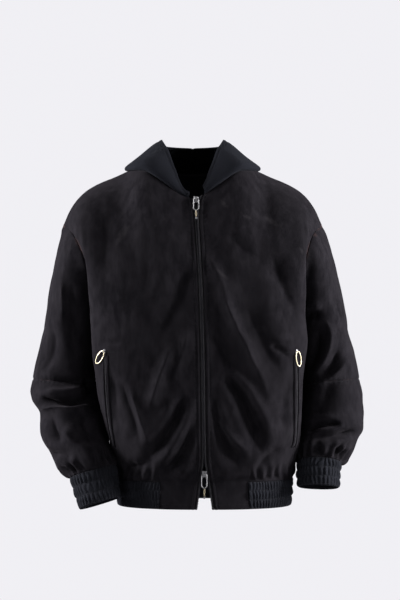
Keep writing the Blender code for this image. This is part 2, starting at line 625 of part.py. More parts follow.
SLEEVE_GRID, SLEEVE_IN, SLEEVE_PINCH = {}, {}, {}
HOOD_GRID, HOOD_IN, HOOD_PINCH = {}, {}, {}
UNDERARM = UPPER_ROWS
BAND_ROW = UPPER_ROWS + LOWER_ROWS - 1
for side in (RIGHT, LEFT):
    front, back = PANEL[side, FRONT], PANEL[side, BACK]
    normal = {face: PANEL_IN[side, face].copy() for face in (FRONT, BACK)}
    # shoulder and side seams share one direction
    shared = unit(normal[FRONT][0] + normal[BACK][0])
    for face in (FRONT, BACK):
        PANEL_IN[side, face][0, NECK_STEPS:] = shared[NECK_STEPS:]
    shared = unit(normal[FRONT][UNDERARM:, -1] + normal[BACK][UNDERARM:, -1])
    for face in (FRONT, BACK):
        PANEL_IN[side, face][UNDERARM:, -1] = shared
        level = PANEL_IN[side, face][BAND_ROW:]
        level[..., 2] = 0.0
        level[:] = unit(level)
    # armhole
    sleeve = sleeve_grid(side, front[:UNDERARM + 1, -1], back[:UNDERARM + 1, -1])
    outward = normals_of(sleeve, closed=True, flip=side)
    pinch = np.zeros_like(sleeve)
    body_normal = np.concatenate([PANEL_IN[side, FRONT][:UNDERARM + 1, -1],
                                  PANEL_IN[side, BACK][UNDERARM - 1:0:-1, -1]])
    body_into = unit(np.concatenate([(front[:, -2] - front[:, -1])[:UNDERARM + 1],
                                     (back[:, -2] - back[:, -1])[UNDERARM - 1:0:-1]]))
    body_into[UNDERARM] = (0.0, 0.0, -1.0)
    sleeve_into = into_rows(sleeve, 0, 1)
    shared, squeeze = blend_edge(body_normal, body_into, outward[0], sleeve_into)
    pinch[0] = -outward[0] * squeeze
    outward[0] = shared
    flat_end = sleeve[-1] - sleeve[-1].mean(axis=0)
    outward[-1] = unit(flat_end)
    SLEEVE_GRID[side], SLEEVE_IN[side], SLEEVE_PINCH[side] = sleeve, outward, pinch
    PANEL_IN[side, FRONT][:UNDERARM + 1, -1] = shared[:UNDERARM + 1]
    PANEL_PINCH[side, FRONT][:UNDERARM + 1, -1] = -(body_normal * squeeze)[:UNDERARM + 1]
    backward = np.concatenate([[0], np.arange(2 * UNDERARM - 1, UNDERARM - 1, -1)])
    PANEL_IN[side, BACK][:UNDERARM + 1, -1] = shared[backward]
    PANEL_PINCH[side, BACK][:UNDERARM + 1, -1] = -(body_normal * squeeze)[backward]
    # neck seam
    hood = hood_grid(side)
    outward = normals_of(hood, flip=side)
    pinch = np.zeros_like(hood)
    turns = NECK_STEPS + 1
    body_normal = np.concatenate([PANEL_IN[side, FRONT][0, :turns],
                                  PANEL_IN[side, BACK][0, :turns][::-1][1:]])
    body_into = unit(np.concatenate([(front[1] - front[0])[:turns],
                                     (back[1] - back[0])[:turns][::-1][1:]]))
    shared, squeeze = blend_edge(body_normal, body_into, outward[0], into_rows(hood, 0, 1))
    pinch[0] = -outward[0] * squeeze
    outward[0] = shared
    outward[:, -1, 0] = 0.0
    outward[:, -1] = unit(outward[:, -1])
    HOOD_GRID[side], HOOD_IN[side], HOOD_PINCH[side] = hood, outward, pinch
    PANEL_IN[side, FRONT][0, :turns] = shared[:turns]
    PANEL_PINCH[side, FRONT][0, :turns] = -(body_normal * squeeze)[:turns]
    PANEL_IN[side, BACK][0, :turns] = shared[turns - 1:][::-1]
    PANEL_PINCH[side, BACK][0, :turns] = -(body_normal * squeeze)[turns - 1:][::-1]

# Fronts and back

suede = material("suede", SUEDE, 0.92, sheen=0.3)
for side in (RIGHT, LEFT):
    cells = np.ones((PANEL[side, FRONT].shape[0] - 1, len(COLUMN_SHARES) - 1), bool)
    cells[BAND_ROW:, TAB_COLUMN:] = False
    wall(f"front_{NAMES[side]}", PANEL[side, FRONT], PANEL_IN[side, FRONT] * CLOTH, suede,
         cells=cells, pinch=PANEL_PINCH[side, FRONT])

back = np.concatenate([PANEL[RIGHT, BACK][:, ::-1], PANEL[LEFT, BACK][:, 1:]], axis=1)
inward = np.concatenate([PANEL_IN[RIGHT, BACK][:, ::-1], PANEL_IN[LEFT, BACK][:, 1:]], axis=1)
middle = len(COLUMN_SHARES) - 1
inward[:, middle, 0] = 0.0
pinch = np.concatenate([PANEL_PINCH[RIGHT, BACK][:, ::-1], PANEL_PINCH[LEFT, BACK][:, 1:]], axis=1)
wall("back", back[:BAND_ROW + 1], (unit(inward) * CLOTH)[:BAND_ROW + 1], suede,
     pinch=pinch[:BAND_ROW + 1])

# Sleeves, cut by the seam round the elbow

for side in (RIGHT, LEFT):
    cut = HEAD_STEPS + UPPER_SLEEVE
    grid, inward, pinch = SLEEVE_GRID[side], SLEEVE_IN[side] * CLOTH, SLEEVE_PINCH[side]
    wall(f"sleeve_upper_{NAMES[side]}", grid[:cut + 1], inward[:cut + 1], suede, closed=True,
         pinch=pinch[:cut + 1])
    wall(f"sleeve_lower_{NAMES[side]}", grid[cut:], inward[cut:], suede, closed=True,
         pinch=pinch[cut:])

# Hood halves

jersey = material("jersey", JERSEY, 0.85, sheen=0.4)
for side in (RIGHT, LEFT):
    wall(f"hood_{NAMES[side]}", HOOD_GRID[side], HOOD_IN[side] * CLOTH, jersey,
         pinch=HOOD_PINCH[side])

# Gathered elastic: channels bulge out between their stitch rows, over a plain inside

ELASTIC = 0.0030
PUFF, TUCK = 0.0038, 0.0008
VALLEY = 0.45             # how far the cloth between two gathers puffs out
rib = material("gathered_rib", JERSEY, 0.88, sheen=0.3)


def gathered(name, top, bottom, gathers, closed):
    """Gathered strip from a line of points at its top to one at its bottom."""
    count = len(top)
    run = np.gradient(top, axis=0)
    if closed:
        run = (np.roll(top, -1, axis=0) - np.roll(top, 1, axis=0)) / 2
    axis = unit((bottom - top).mean(axis=0))
    out = unit(np.cross(run, axis))
    centre = top.mean(axis=0) if closed else np.array([0.0, 0.0, top[0, 2]])
    if np.sum(out * (top - centre)) < 0.0:
        out = -out
    peak = (np.arange(count) % 2)[:, None]
    rows = []
    for r in range(2 * CHANNELS + 1):
        share = r / (2 * CHANNELS)
        belly = r % 2
        lift = PUFF * (VALLEY + (1 - VALLEY) * peak) if belly else TUCK * peak
        rows.append(top * (1 - share) + bottom * share + out * lift)
    outer = np.stack(rows)
    base = np.stack([top * (1 - r / (2 * CHANNELS)) + bottom * (r / (2 * CHANNELS))
                     for r in range(2 * CHANNELS + 1)]) - out * ELASTIC
    return strip(name, outer, base, rib, closed)


def strip(name, outer, inside, surface, closed):
    """Closed body of a gathered outside and a plain inside that has rows only at its two ends."""
    rows, columns = outer.shape[:2]
    outer, inside = outer.copy(), inside[[0, -1]].copy()
    down = unit(outer[-1] - outer[0]) * SEAM
    outer[0] += down
    outer[-1] -= down
    inside[0] += down
    inside[1] -= down
    if not closed:
        for end, near in ((0, 1), (-1, -2)):
            for grid in (outer, inside):
                grid[:, end] += unit(grid[:, near] - grid[:, end]) * SEAM
    points = [tuple(p) for p in outer.reshape(-1, 3)] + [tuple(p) for p in inside.reshape(-1, 3)]
    base = rows * columns
    wide = columns if closed else columns - 1
    faces = []
    for c in range(wide):
        after = (c + 1) % columns
        for r in range(rows - 1):
            faces.append([r * columns + c, r * columns + after, (r + 1) * columns + after,
                          (r + 1) * columns + c])
        faces.append([base + c, base + columns + c, base + columns + after, base + after])
        faces.append([c, base + c, base + after, after])
        last = (rows - 1) * columns
        faces.append([last + c, last + after, base + columns + after, base + columns + c])
    if not closed:
        for c in (0, columns - 1):
            faces.append([r * columns + c for r in range(rows)] + [base + columns + c, base + c])
    mesh = bpy.data.meshes.new(name)
    mesh.from_pydata(points, [], faces)
    body = bmesh.new()
    body.from_mesh(mesh)
    bmesh.ops.triangulate(body, faces=[f for f in body.faces if len(f.verts) > 4])
    bmesh.ops.recalc_face_normals(body, faces=body.faces[:])
    body.to_mesh(mesh)
    body.free()
    return finish_object(name, mesh, surface)


for side in (RIGHT, LEFT):
    around = 2 * CUFF_GATHERS
    turns = np.arange(around) / around
    end = CUFF_END[side]
    bottom = ring_points(side, (side * end.x, end.y, end.z), end.wide, end.deep, end.lean,
                         end.pitch, turns)
    gathered(f"cuff_{NAMES[side]}", ring_at(side, 2.0, turns), bottom, CUFF_GATHERS, True)

for side in (RIGHT, LEFT):
    lines = []
    for z in (BAND_TOP_Z, HEM_Z):
        front = ring_line(side, FRONT, z)
        start = between(COLUMNS[FRONT], "ring", COLUMN_SHARES[TAB_COLUMN])
        front = along(front, np.linspace(start, 1.0, 60))
        whole = np.concatenate([front, ring_line(side, BACK, z)[::-1][1:]])
        lines.append(along(whole, np.linspace(0.0, 1.0, 2 * HEM_GATHERS + 1)))
    gathered(f"hem_band_{NAMES[side]}", lines[0], lines[1], HEM_GATHERS, False)

# Zip tapes: each follows its front's edge, with the coil raised beside its inner edge

TAPE = 0.0016
TapeColumn = namedtuple("TapeColumn", "reach lift")
TAPE_COLUMNS = [TapeColumn(0.0002, -0.0005), TapeColumn(0.0036, -0.0005),
                TapeColumn(0.0046, 0.0004), TapeColumn(0.0060, 0.0004)]
tape_cloth = material("zip_tape", (0.035, 0.034, 0.036), 0.75)
for side in (RIGHT, LEFT):
    edge = PANEL[side, FRONT][:, 0]
    outer = np.stack([edge - np.array([side * column.reach, column.lift, 0.0])
                      for column in TAPE_COLUMNS], axis=1)
    flat = np.zeros_like(outer)
    flat[..., 1] = -TAPE
    wall(f"zip_tape_{NAMES[side]}", outer, flat, tape_cloth)

# Metal parts

PARTS_OUT = new_collection("joined_forms")
steel = material("steel", STEEL, 0.28, metallic=1.0)
pale_gold = material("pale_gold", PALE_GOLD, 0.3, metallic=1.0)


def meshed(curve):
    """The same form as a mesh, with its caps closed."""
    seen = curve.evaluated_get(bpy.context.evaluated_depsgraph_get())
    mesh = bpy.data.meshes.new_from_object(seen)
    body = bmesh.new()
    body.from_mesh(mesh)
    bmesh.ops.remove_doubles(body, verts=body.verts[:], dist=0.00001)
    body.to_mesh(mesh)
    body.free()
    made = bpy.data.objects.new(curve.name, mesh)
    made.matrix_world = curve.matrix_world
    JACKET.objects.link(made)
    bpy.data.objects.remove(curve)
    return made


def hidden(form):
    """Keeps a form that is only joined into another out of sight."""
    for owner in list(form.users_collection):
        owner.objects.unlink(form)
    PARTS_OUT.objects.link(form)
    form.hide_render = True
    form.display_type = "WIRE"
    return form


def frame_of(point, outward, turn=0.0):
    """Frame on a surface: -Y looks outward, Z goes up the surface, turned in its plane."""
    y = -Vector(outward).normalized()
    x = y.cross(Vector((0, 0, 1))).normalized()
    z = x.cross(y)
    frame = Matrix((x, y, z)).transposed().to_4x4()
    frame.translation = Vector(point)
    return frame @ Matrix.Rotation(turn, 4, "Y")


def block(name, size, centre, frame, surface, bevel):
    mesh = bpy.data.meshes.new(name)
    body = bmesh.new()
    bmesh.ops.create_cube(body, size=1.0)
    bmesh.ops.scale(body, vec=size, verts=body.verts[:])
    bmesh.ops.translate(body, vec=centre, verts=body.verts[:])
    body.to_mesh(mesh)
    body.free()
    made = finish_object(name, mesh, surface)
    made.matrix_world = frame
    rounding = made.modifiers.new("rounded", "BEVEL")
    rounding.width = bevel
    rounding.segments = 1
    return made


def wire(name, points, radius, frame, surface, closed):
    curve = bpy.data.curves.new(name, "CURVE")
    curve.dimensions = "3D"
    curve.bevel_depth = radius
    curve.bevel_resolution = 1
    curve.use_fill_caps = not closed
    line = curve.splines.new("POLY")
    line.points.add(len(points) - 1)
    for point, place in zip(line.points, points):
        point.co = (*place, 1.0)
    line.use_cyclic_u = closed
    curve.materials.append(surface)
    made = bpy.data.objects.new(name, curve)
    made.matrix_world = frame
    JACKET.objects.link(made)
    return made


ROUNDING = 0.0006
BRIDGE_WIRE = 0.0006
BRIDGE_TURN = 0.95        # where the bridge bends over, as a share of its reach
BRIDGE_FLAT = 0.6


def slider(name, frame, size, bridge, turn):
    """Slider body with the wire bridge its pull hangs from."""
    width, deep, tall = size
    body = block(name, size, (0, -deep / 2, 0), frame, steel, ROUNDING)
    foot = -deep + BRIDGE_WIRE
    flat, turned = BRIDGE_FLAT * bridge, BRIDGE_TURN * bridge
    bow = wire(name + "_bridge",
               [(0, foot, bridge), (0, -deep - flat, turned), (0, -deep - bridge, flat),
                (0, -deep - bridge, -flat), (0, -deep - flat, -turned), (0, foot, -bridge)],
               BRIDGE_WIRE, frame @ Matrix.Rotation(turn, 4, "Y"), steel, False)
    bow = hidden(meshed(bow))
    union = body.modifiers.new("bridge", "BOOLEAN")
    union.operation = "UNION"
    union.solver = "EXACT"
    union.object = bow
    return body


def front_outline(side, z):
    """Outer points of a front at one height, from the zip round to the side."""
    grid = PANEL[side, FRONT][UPPER_ROWS:]
    return np.array([[np.interp(-z, -column[:, 2], column[:, axis]) for axis in range(3)]
                     for column in grid.transpose(1, 0, 2)])


def on_front(side, x, z, walk=0.0):
    """Place on a front: where x is met at a height, then a walk round the body from there."""
    line = front_outline(side, z)
    steps = np.linalg.norm(np.diff(line, axis=0), axis=1)
    length = np.concatenate([[0.0], np.cumsum(steps)])
    widest = int(np.argmax(side * line[:, 0]))
    at = np.interp(side * x, side * line[:widest + 1, 0], length[:widest + 1]) + walk
    point = np.array([np.interp(at, length, line[:, k]) for k in range(3)])
    k = min(max(int(np.searchsorted(length, at)), 1), len(line) - 1)
    across = line[k] - line[k - 1]
    down = front_outline(side, z - 0.012)[k] - front_outline(side, z + 0.012)[k]
    return point, unit(np.cross(across, down)) * -side


def zip_front(z):
    """Outer point in the middle of the zip at a height."""
    edge = PANEL[RIGHT, FRONT][:, 0]
    y = np.interp(-z, -edge[:, 2], edge[:, 1])
    return np.array([zip_x(z), y, z])


# Sliders and pulls of the front zip: a wire loop with a narrow bar

Pull = namedtuple("Pull", "name slider_z proud lean loop bar")
PULLS = [
    Pull("top", -0.0625, 0.0034, 0.030, 0.0250, 0.0140),
    Pull("bottom", -0.6060, 0.0023, 0.0, 0.0270, 0.0150),
]
SLIDER = (0.0088, 0.0034, 0.0130)
BRIDGE = 0.0032
WIRE = 0.0009
LOOP_WIDE = 0.0106
LOOP_CORNER = 0.0024
LOOP_PLAY = 0.0018        # how deep the loop hangs inside the bridge
RISE_STEP = 0.045         # how far below the slider the zip's slope is read
BAR = (0.0026, 0.0018)    # width and depth of the narrow bar
END = (0.0042, 0.0026, 0.0042)
BAR_ROUNDING, END_ROUNDING = 0.0004, 0.0008
JOIN_GAP = 0.0004         # between the loop, the bar and its end
for pull in PULLS:
    seat = zip_front(pull.slider_z)
    run = zip_front(pull.slider_z - RISE_STEP) - seat
    slope = math.atan2(-run[1], -run[2])
    outward = (0.0, -math.cos(slope), math.sin(slope))
    base = frame_of(seat + np.array(outward) * pull.proud, outward)
    slider(f"zip_slider_{pull.name}", base, SLIDER, BRIDGE, 0.0)
    hinge = base @ Vector((0, -SLIDER[1] - BRIDGE + LOOP_PLAY, 0))
    hang = max(slope, 0.0) + pull.lean
    loop_frame = Matrix.Translation(hinge) @ Matrix.Rotation(-hang, 4, "X")
    corner, half = LOOP_CORNER, LOOP_WIDE / 2
    low = -pull.loop
    outline = [(-half + corner, 0, 0), (half - corner, 0, 0), (half - 0.3 * corner, 0, -0.3 * corner),
               (half, 0, -corner), (half, 0, low + 2 * corner), (half - 0.6 * corner, 0, low + corner),
               (half - 2 * corner + 0.0006, 0, low), (-half + 2 * corner - 0.0006, 0, low),
               (-half + 0.6 * corner, 0, low + corner), (-half, 0, low + 2 * corner),
               (-half, 0, -corner), (-half + 0.3 * corner, 0, -0.3 * corner)]
    wire(f"pull_loop_{pull.name}", outline, WIRE, loop_frame, steel, True)
    bar_top = low - WIRE - JOIN_GAP
    block(f"pull_bar_{pull.name}", (*BAR, pull.bar), (0, 0, bar_top - pull.bar / 2), loop_frame,
          pale_gold, BAR_ROUNDING)
    end_middle = bar_top - pull.bar - JOIN_GAP - END[2] / 2
    block(f"pull_end_{pull.name}", END, (0, 0, end_middle), loop_frame, steel, END_ROUNDING)

# Pocket zips: a closed coil on each front with a folded welt outside it and an oval ring pull

Line = namedtuple("Line", "z right left")
POCKET_LINE = [
    Line(-0.372, -0.1845, 0.1955),
    Line(-0.420, -0.1830, 0.1962),
    Line(-0.463, -0.1812, 0.1968),
    Line(-0.510, -0.1765, 0.1960),
    Line(-0.543, -0.1708, 0.1945),
    Line(-0.558, -0.1685, 0.1905),
]
POCKET_TOP, POCKET_END, POCKET_ROWS = -0.372, -0.558, 15
ON_PANEL = 0.0009
zip_cloth = material("pocket_zip", (0.030, 0.029, 0.031), 0.6)


def lying(name, side, near, far, steps, thick, surface):
    """Strip on a front beside the pocket line, from its points moved out."""
    outer, under = [], []
    for z in np.linspace(POCKET_TOP, POCKET_END, POCKET_ROWS):
        x = between(POCKET_LINE, NAMES[side], z)
        row = [on_front(side, x, z, reach) for reach in np.linspace(near, far, steps)]
        outer.append([point + normal * (ON_PANEL + thick) for point, normal in row])
        under.append([point + normal * ON_PANEL for point, normal in row])
    outer, under = np.array(outer), np.array(under)
    return wall(name, outer, outer - under, surface)


Ringed = namedtuple("Ringed", "x z tilt")
RINGS = {RIGHT: Ringed(-0.1850, -0.3640, 40), LEFT: Ringed(0.1950, -0.3640, 14)}
RING_LONG, RING_WIDE, RING_WIRE = 0.0155, 0.0066, 0.00120
POCKET_SLIDER = (0.0060, 0.0026, 0.0080)
POCKET_BRIDGE = 0.0038
for side in (RIGHT, LEFT):
    lying(f"pocket_zip_{NAMES[side]}", side, -0.0026, 0.0026, 3, 0.0013, zip_cloth)
    lying(f"pocket_welt_{NAMES[side]}", side, 0.0032, 0.0120, 4, 0.0020, suede)
    ring = RINGS[side]
    point, normal = on_front(side, ring.x, ring.z)
    turn = math.radians(ring.tilt) * side
    base = frame_of(point + normal * ON_PANEL, normal)
    slider(f"pocket_slider_{NAMES[side]}", base, POCKET_SLIDER, POCKET_BRIDGE, -turn)
    hinge = base @ Vector((0, -POCKET_SLIDER[1] - POCKET_BRIDGE + 0.0021, 0))
    ring_frame = base.copy()
    ring_frame.translation = hinge
    ring_frame = ring_frame @ Matrix.Rotation(-turn, 4, "Y")
    count = 28
    oval = [(RING_WIDE * math.sin(2 * math.pi * k / count), 0,
             RING_LONG * (math.cos(2 * math.pi * k / count) - 1)) for k in range(count)]
    wire(f"pocket_ring_{NAMES[side]}", oval, RING_WIRE, ring_frame, pale_gold, True)
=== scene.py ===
import math
from collections import namedtuple

import bpy
import numpy as np
from mathutils import Matrix, Vector


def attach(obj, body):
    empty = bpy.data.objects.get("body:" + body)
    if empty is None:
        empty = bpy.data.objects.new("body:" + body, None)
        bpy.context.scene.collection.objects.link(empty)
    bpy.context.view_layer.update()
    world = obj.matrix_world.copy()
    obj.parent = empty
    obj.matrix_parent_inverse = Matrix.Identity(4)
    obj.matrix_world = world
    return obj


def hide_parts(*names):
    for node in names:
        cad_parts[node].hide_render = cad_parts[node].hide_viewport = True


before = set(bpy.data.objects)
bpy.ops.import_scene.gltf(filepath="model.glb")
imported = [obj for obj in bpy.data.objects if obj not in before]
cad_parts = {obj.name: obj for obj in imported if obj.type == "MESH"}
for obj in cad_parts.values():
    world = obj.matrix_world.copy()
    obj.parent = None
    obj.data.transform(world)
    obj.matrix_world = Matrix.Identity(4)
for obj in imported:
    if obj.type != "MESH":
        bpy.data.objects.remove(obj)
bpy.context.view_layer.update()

# Suede fronts and back
# Two fronts and a one-piece back, cut from black napped suede whose reverse side is a smooth
# knit. They hang from the shoulders, blouse over the elastic band, and are sewn at the
# shoulders, sides and armholes; each front runs down beside the zip as a flat tab.

RIGHT, LEFT = -1, 1       # the wearer's
FRONT, BACK = -1, 1
NAMES = {RIGHT: "right", LEFT: "left"}
CLOTH = 0.0022
UNDERARM_Z = -0.290
BAND_TOP_Z = -0.625
HEM_Z = -0.680
NECK_X = -0.011           # the neck stands a little to the right of the zip

ZipLine = namedtuple("ZipLine", "z x reach")
ZIP_LINE = [              # middle of the zip, and how far from it each front's edge stays
    ZipLine(-0.052, -0.0040, 0.0165),
    ZipLine(-0.058, -0.0038, 0.0125),
    ZipLine(-0.067, -0.0036, 0.0088),
    ZipLine(-0.108, -0.0020, 0.0070),
    ZipLine(-0.162, 0.0013, 0.0066),
    ZipLine(-0.237, 0.0055, 0.0064),
    ZipLine(-0.322, 0.0080, 0.0064),
    ZipLine(-0.423, 0.0100, 0.0064),
    ZipLine(-0.503, 0.0110, 0.0064),
    ZipLine(-0.574, 0.0120, 0.0068),
    ZipLine(-0.603, 0.0125, 0.0098),
    ZipLine(-0.630, 0.0130, 0.0140),
    ZipLine(-0.680, 0.0134, 0.0208),
]

Torso = namedtuple("Torso", "z right_half left_half front back square back_square press")
TORSO = [
    Torso(-0.200, 0.2280, 0.2150, 0.148, 0.146, 3.8, 2.6, 0.040),
    Torso(-0.290, 0.2235, 0.2080, 0.152, 0.150, 3.8, 2.6, 0.044),
    Torso(-0.340, 0.2230, 0.2100, 0.155, 0.152, 3.8, 2.5, 0.042),
    Torso(-0.420, 0.2160, 0.2010, 0.157, 0.155, 3.6, 2.5, 0.036),
    Torso(-0.500, 0.2025, 0.1980, 0.158, 0.158, 3.2, 2.5, 0.026),
    Torso(-0.545, 0.1910, 0.1950, 0.158, 0.160, 2.8, 2.4, 0.016),
    Torso(-0.585, 0.1820, 0.1870, 0.155, 0.158, 2.5, 2.4, 0.008),
    Torso(-0.610, 0.1790, 0.1835, 0.146, 0.150, 2.4, 2.4, 0.003),
    Torso(-0.625, 0.1790, 0.1795, 0.134, 0.139, 2.4, 2.4, 0.0),
    Torso(-0.680, 0.1760, 0.1755, 0.130, 0.135, 2.4, 2.4, 0.0),
]
PRESS_REACH = 0.060       # how far the arm's pressure on the side spreads to front and back

Shoulder = namedtuple("Shoulder", "share out z")
SHOULDER = [
    Shoulder(0.00, 0.1335, 0.0015),
    Shoulder(0.20, 0.160, -0.0105),
    Shoulder(0.40, 0.187, -0.0214),
    Shoulder(0.60, 0.214, -0.0362),
    Shoulder(0.75, 0.235, -0.0550),
    Shoulder(0.88, 0.2525, -0.0800),
    Shoulder(1.00, 0.267, -0.1130),
]

# Columns of cloth from the top edge to the underarm level: where each meets the underarm ring,
# and the two handles that give its curve
NECK_SHARE = 0.45
TAB_SHARE = 0.36
Column = namedtuple("Column", "share ring leave_x leave_y leave_z arrive_x arrive_y arrive_z")
COLUMNS = {
    FRONT: [
        Column(0.00, 0.000, 0.000, -0.030, -0.062, 0.000, -0.004, -0.085),
        Column(0.18, 0.150, 0.008, -0.042, -0.050, 0.000, -0.002, -0.085),
        Column(0.36, 0.310, 0.006, -0.072, -0.026, 0.000, 0.000, -0.090),
        Column(0.45, 0.385, 0.004, -0.085, -0.020, 0.000, 0.004, -0.095),
        Column(0.65, 0.550, 0.000, -0.105, -0.018, 0.000, 0.010, -0.095),
        Column(0.80, 0.690, -0.004, -0.125, -0.014, 0.000, 0.035, -0.090),
        Column(0.92, 0.860, -0.020, -0.142, -0.006, -0.014, 0.085, -0.080),
        Column(1.00, 1.000, -0.045, -0.148, -0.005, -0.040, 0.118, -0.072),
    ],
    BACK: [
        Column(0.00, 0.000, 0.000, 0.032, -0.045, 0.000, 0.006, -0.100),
        Column(0.18, 0.150, 0.006, 0.042, -0.038, 0.000, 0.004, -0.095),
        Column(0.36, 0.310, 0.006, 0.066, -0.026, 0.000, 0.000, -0.090),
        Column(0.45, 0.385, 0.004, 0.080, -0.020, 0.000, 0.000, -0.090),
        Column(0.65, 0.550, 0.000, 0.100, -0.018, 0.000, -0.010, -0.095),
        Column(0.80, 0.690, -0.004, 0.118, -0.014, 0.000, -0.034, -0.090),
        Column(0.92, 0.860, -0.016, 0.134, -0.010, -0.010, -0.084, -0.080),
        Column(1.00, 1.000, -0.036, 0.140, -0.012, -0.034, -0.112, -0.072),
    ],
}

Neck = namedtuple("Neck", "turn r z")
NECKLINE = [
    Neck(0, 0.0900, -0.0575),
    Neck(10, 0.0925, -0.0535),
    Neck(30, 0.1020, -0.0310),
    Neck(55, 0.1220, -0.0010),
    Neck(90, 0.1335, 0.0015),
    Neck(115, 0.1280, 0.0060),
    Neck(140, 0.1120, 0.0050),
    Neck(160, 0.1030, 0.0010),
    Neck(180, 0.1000, -0.0010),
]

# Creases of the body in the front view, each through three points: a trough's depth is
# positive and a ridge's negative, and lip is how far the cloth beside a trough stands up
Crease = namedtuple("Crease", "x0 z0 x1 z1 x2 z2 width depth lip")
BODY_CREASES = {
    FRONT: [
        Crease(0.048, -0.410, 0.090, -0.470, 0.134, -0.588, 0.013, 0.0100, 0.45),
        Crease(0.023, -0.449, 0.045, -0.525, 0.084, -0.604, 0.011, 0.0065, 0.35),
        Crease(0.037, -0.228, 0.084, -0.331, 0.152, -0.476, 0.013, -0.0050, 0.0),
        Crease(0.015, -0.157, 0.041, -0.219, 0.084, -0.318, 0.016, -0.0036, 0.0),
        Crease(0.029, -0.307, 0.048, -0.361, 0.078, -0.410, 0.020, 0.0040, 0.2),
        Crease(0.023, -0.476, 0.059, -0.528, 0.111, -0.574, 0.010, -0.0042, 0.0),
        Crease(0.141, -0.165, 0.168, -0.230, 0.204, -0.318, 0.020, 0.0045, 0.3),
        Crease(0.094, -0.274, 0.127, -0.339, 0.165, -0.416, 0.018, 0.0034, 0.2),
        Crease(0.184, -0.416, 0.171, -0.476, 0.179, -0.536, 0.022, 0.0030, 0.2),
        Crease(0.145, -0.350, 0.163, -0.361, 0.184, -0.384, 0.007, 0.0030, 0.3),
        Crease(0.116, -0.599, 0.141, -0.574, 0.171, -0.552, 0.010, 0.0035, 0.3),
        Crease(-0.026, -0.446, -0.056, -0.517, -0.113, -0.595, 0.013, 0.0095, 0.45),
        Crease(-0.014, -0.503, -0.031, -0.563, -0.072, -0.613, 0.011, 0.0065, 0.35),
        Crease(-0.041, -0.339, -0.077, -0.416, -0.101, -0.498, 0.014, -0.0046, 0.0),
        Crease(-0.025, -0.187, -0.047, -0.263, -0.097, -0.369, 0.024, 0.0050, 0.25),
        Crease(-0.020, -0.307, -0.031, -0.372, -0.058, -0.432, 0.013, -0.0030, 0.0),
        Crease(-0.135, -0.429, -0.117, -0.487, -0.087, -0.566, 0.009, -0.0034, 0.0),
        Crease(-0.150, -0.416, -0.134, -0.481, -0.105, -0.566, 0.011, 0.0030, 0.2),
        Crease(-0.173, -0.394, -0.165, -0.470, -0.150, -0.541, 0.018, 0.0030, 0.2),
        Crease(-0.080, -0.577, -0.118, -0.595, -0.154, -0.595, 0.010, 0.0040, 0.3),
        Crease(-0.189, -0.088, -0.184, -0.154, -0.189, -0.230, 0.018, 0.0022, 0.2),
        Crease(-0.113, -0.067, -0.097, -0.154, -0.107, -0.252, 0.030, 0.0022, 0.1),
        Crease(-0.208, -0.345, -0.173, -0.348, -0.148, -0.346, 0.006, 0.0010, 0.3),
        Crease(0.149, -0.349, 0.165, -0.348, 0.184, -0.345, 0.005, 0.0022, 0.4),
        Crease(0.062, -0.121, 0.084, -0.154, 0.138, -0.181, 0.016, 0.0020, 0.2),
    ],
    BACK: [
        Crease(-0.020, -0.470, -0.050, -0.540, -0.098, -0.605, 0.014, 0.0085, 0.4),
        Crease(0.030, -0.390, 0.080, -0.470, 0.118, -0.575, 0.015, 0.0085, 0.4),
        Crease(-0.130, -0.230, -0.100, -0.330, -0.050, -0.430, 0.022, 0.0055, 0.25),
        Crease(0.150, -0.240, 0.120, -0.310, 0.070, -0.390, 0.020, 0.0050, 0.25),
        Crease(-0.140, -0.450, -0.135, -0.520, -0.120, -0.600, 0.013, 0.0050, 0.35),
        Crease(0.060, -0.490, 0.050, -0.550, 0.042, -0.612, 0.012, 0.0055, 0.35),
        Crease(-0.060, -0.420, -0.095, -0.480, -0.150, -0.540, 0.016, -0.0045, 0.0),
        Crease(0.090, -0.430, 0.130, -0.480, 0.170, -0.545, 0.015, -0.0045, 0.0),
        Crease(0.010, -0.230, 0.015, -0.320, -0.005, -0.430, 0.028, 0.0030, 0.1),
        Crease(0.175, -0.160, 0.180, -0.240, 0.195, -0.320, 0.018, 0.0040, 0.3),
        Crease(-0.180, -0.150, -0.185, -0.240, -0.198, -0.330, 0.018, 0.0040, 0.3),
        Crease(-0.010, -0.520, -0.020, -0.570, -0.018, -0.615, 0.011, 0.0040, 0.3),
    ],
}

FOLD_GAIN = 1.50          # how much deeper the folds hang than the crease tables say

NECK_COLUMNS = np.concatenate([np.arange(8) * 0.0035, np.linspace(0.028, TAB_SHARE, 34),
                               np.linspace(TAB_SHARE, NECK_SHARE, 10)[1:]])
SHARES = np.concatenate([NECK_COLUMNS, np.linspace(NECK_SHARE, 0.985, 58)[1:],
                         [0.990, 0.995, 1.0]])
TAB_COLUMN = int(np.argmin(np.abs(SHARES - TAB_SHARE)))
NECK_CORNER = len(NECK_COLUMNS) - 1
UPPER_STEPS = np.concatenate([[0.0, 0.003, 0.007, 0.012], np.linspace(0.018, 1.0, 93)[:-1]])
LOWER_HEIGHTS = np.concatenate([np.linspace(UNDERARM_Z, -0.610, 101),
                                np.linspace(-0.610, BAND_TOP_Z, 11)[1:]])
TAB_HEIGHTS = np.concatenate([np.linspace(BAND_TOP_Z, -0.674, 16)[1:], [-0.676, -0.678, HEM_Z]])
UNDERARM_ROW = len(UPPER_STEPS)
BAND_ROW = UNDERARM_ROW + len(LOWER_HEIGHTS) - 1


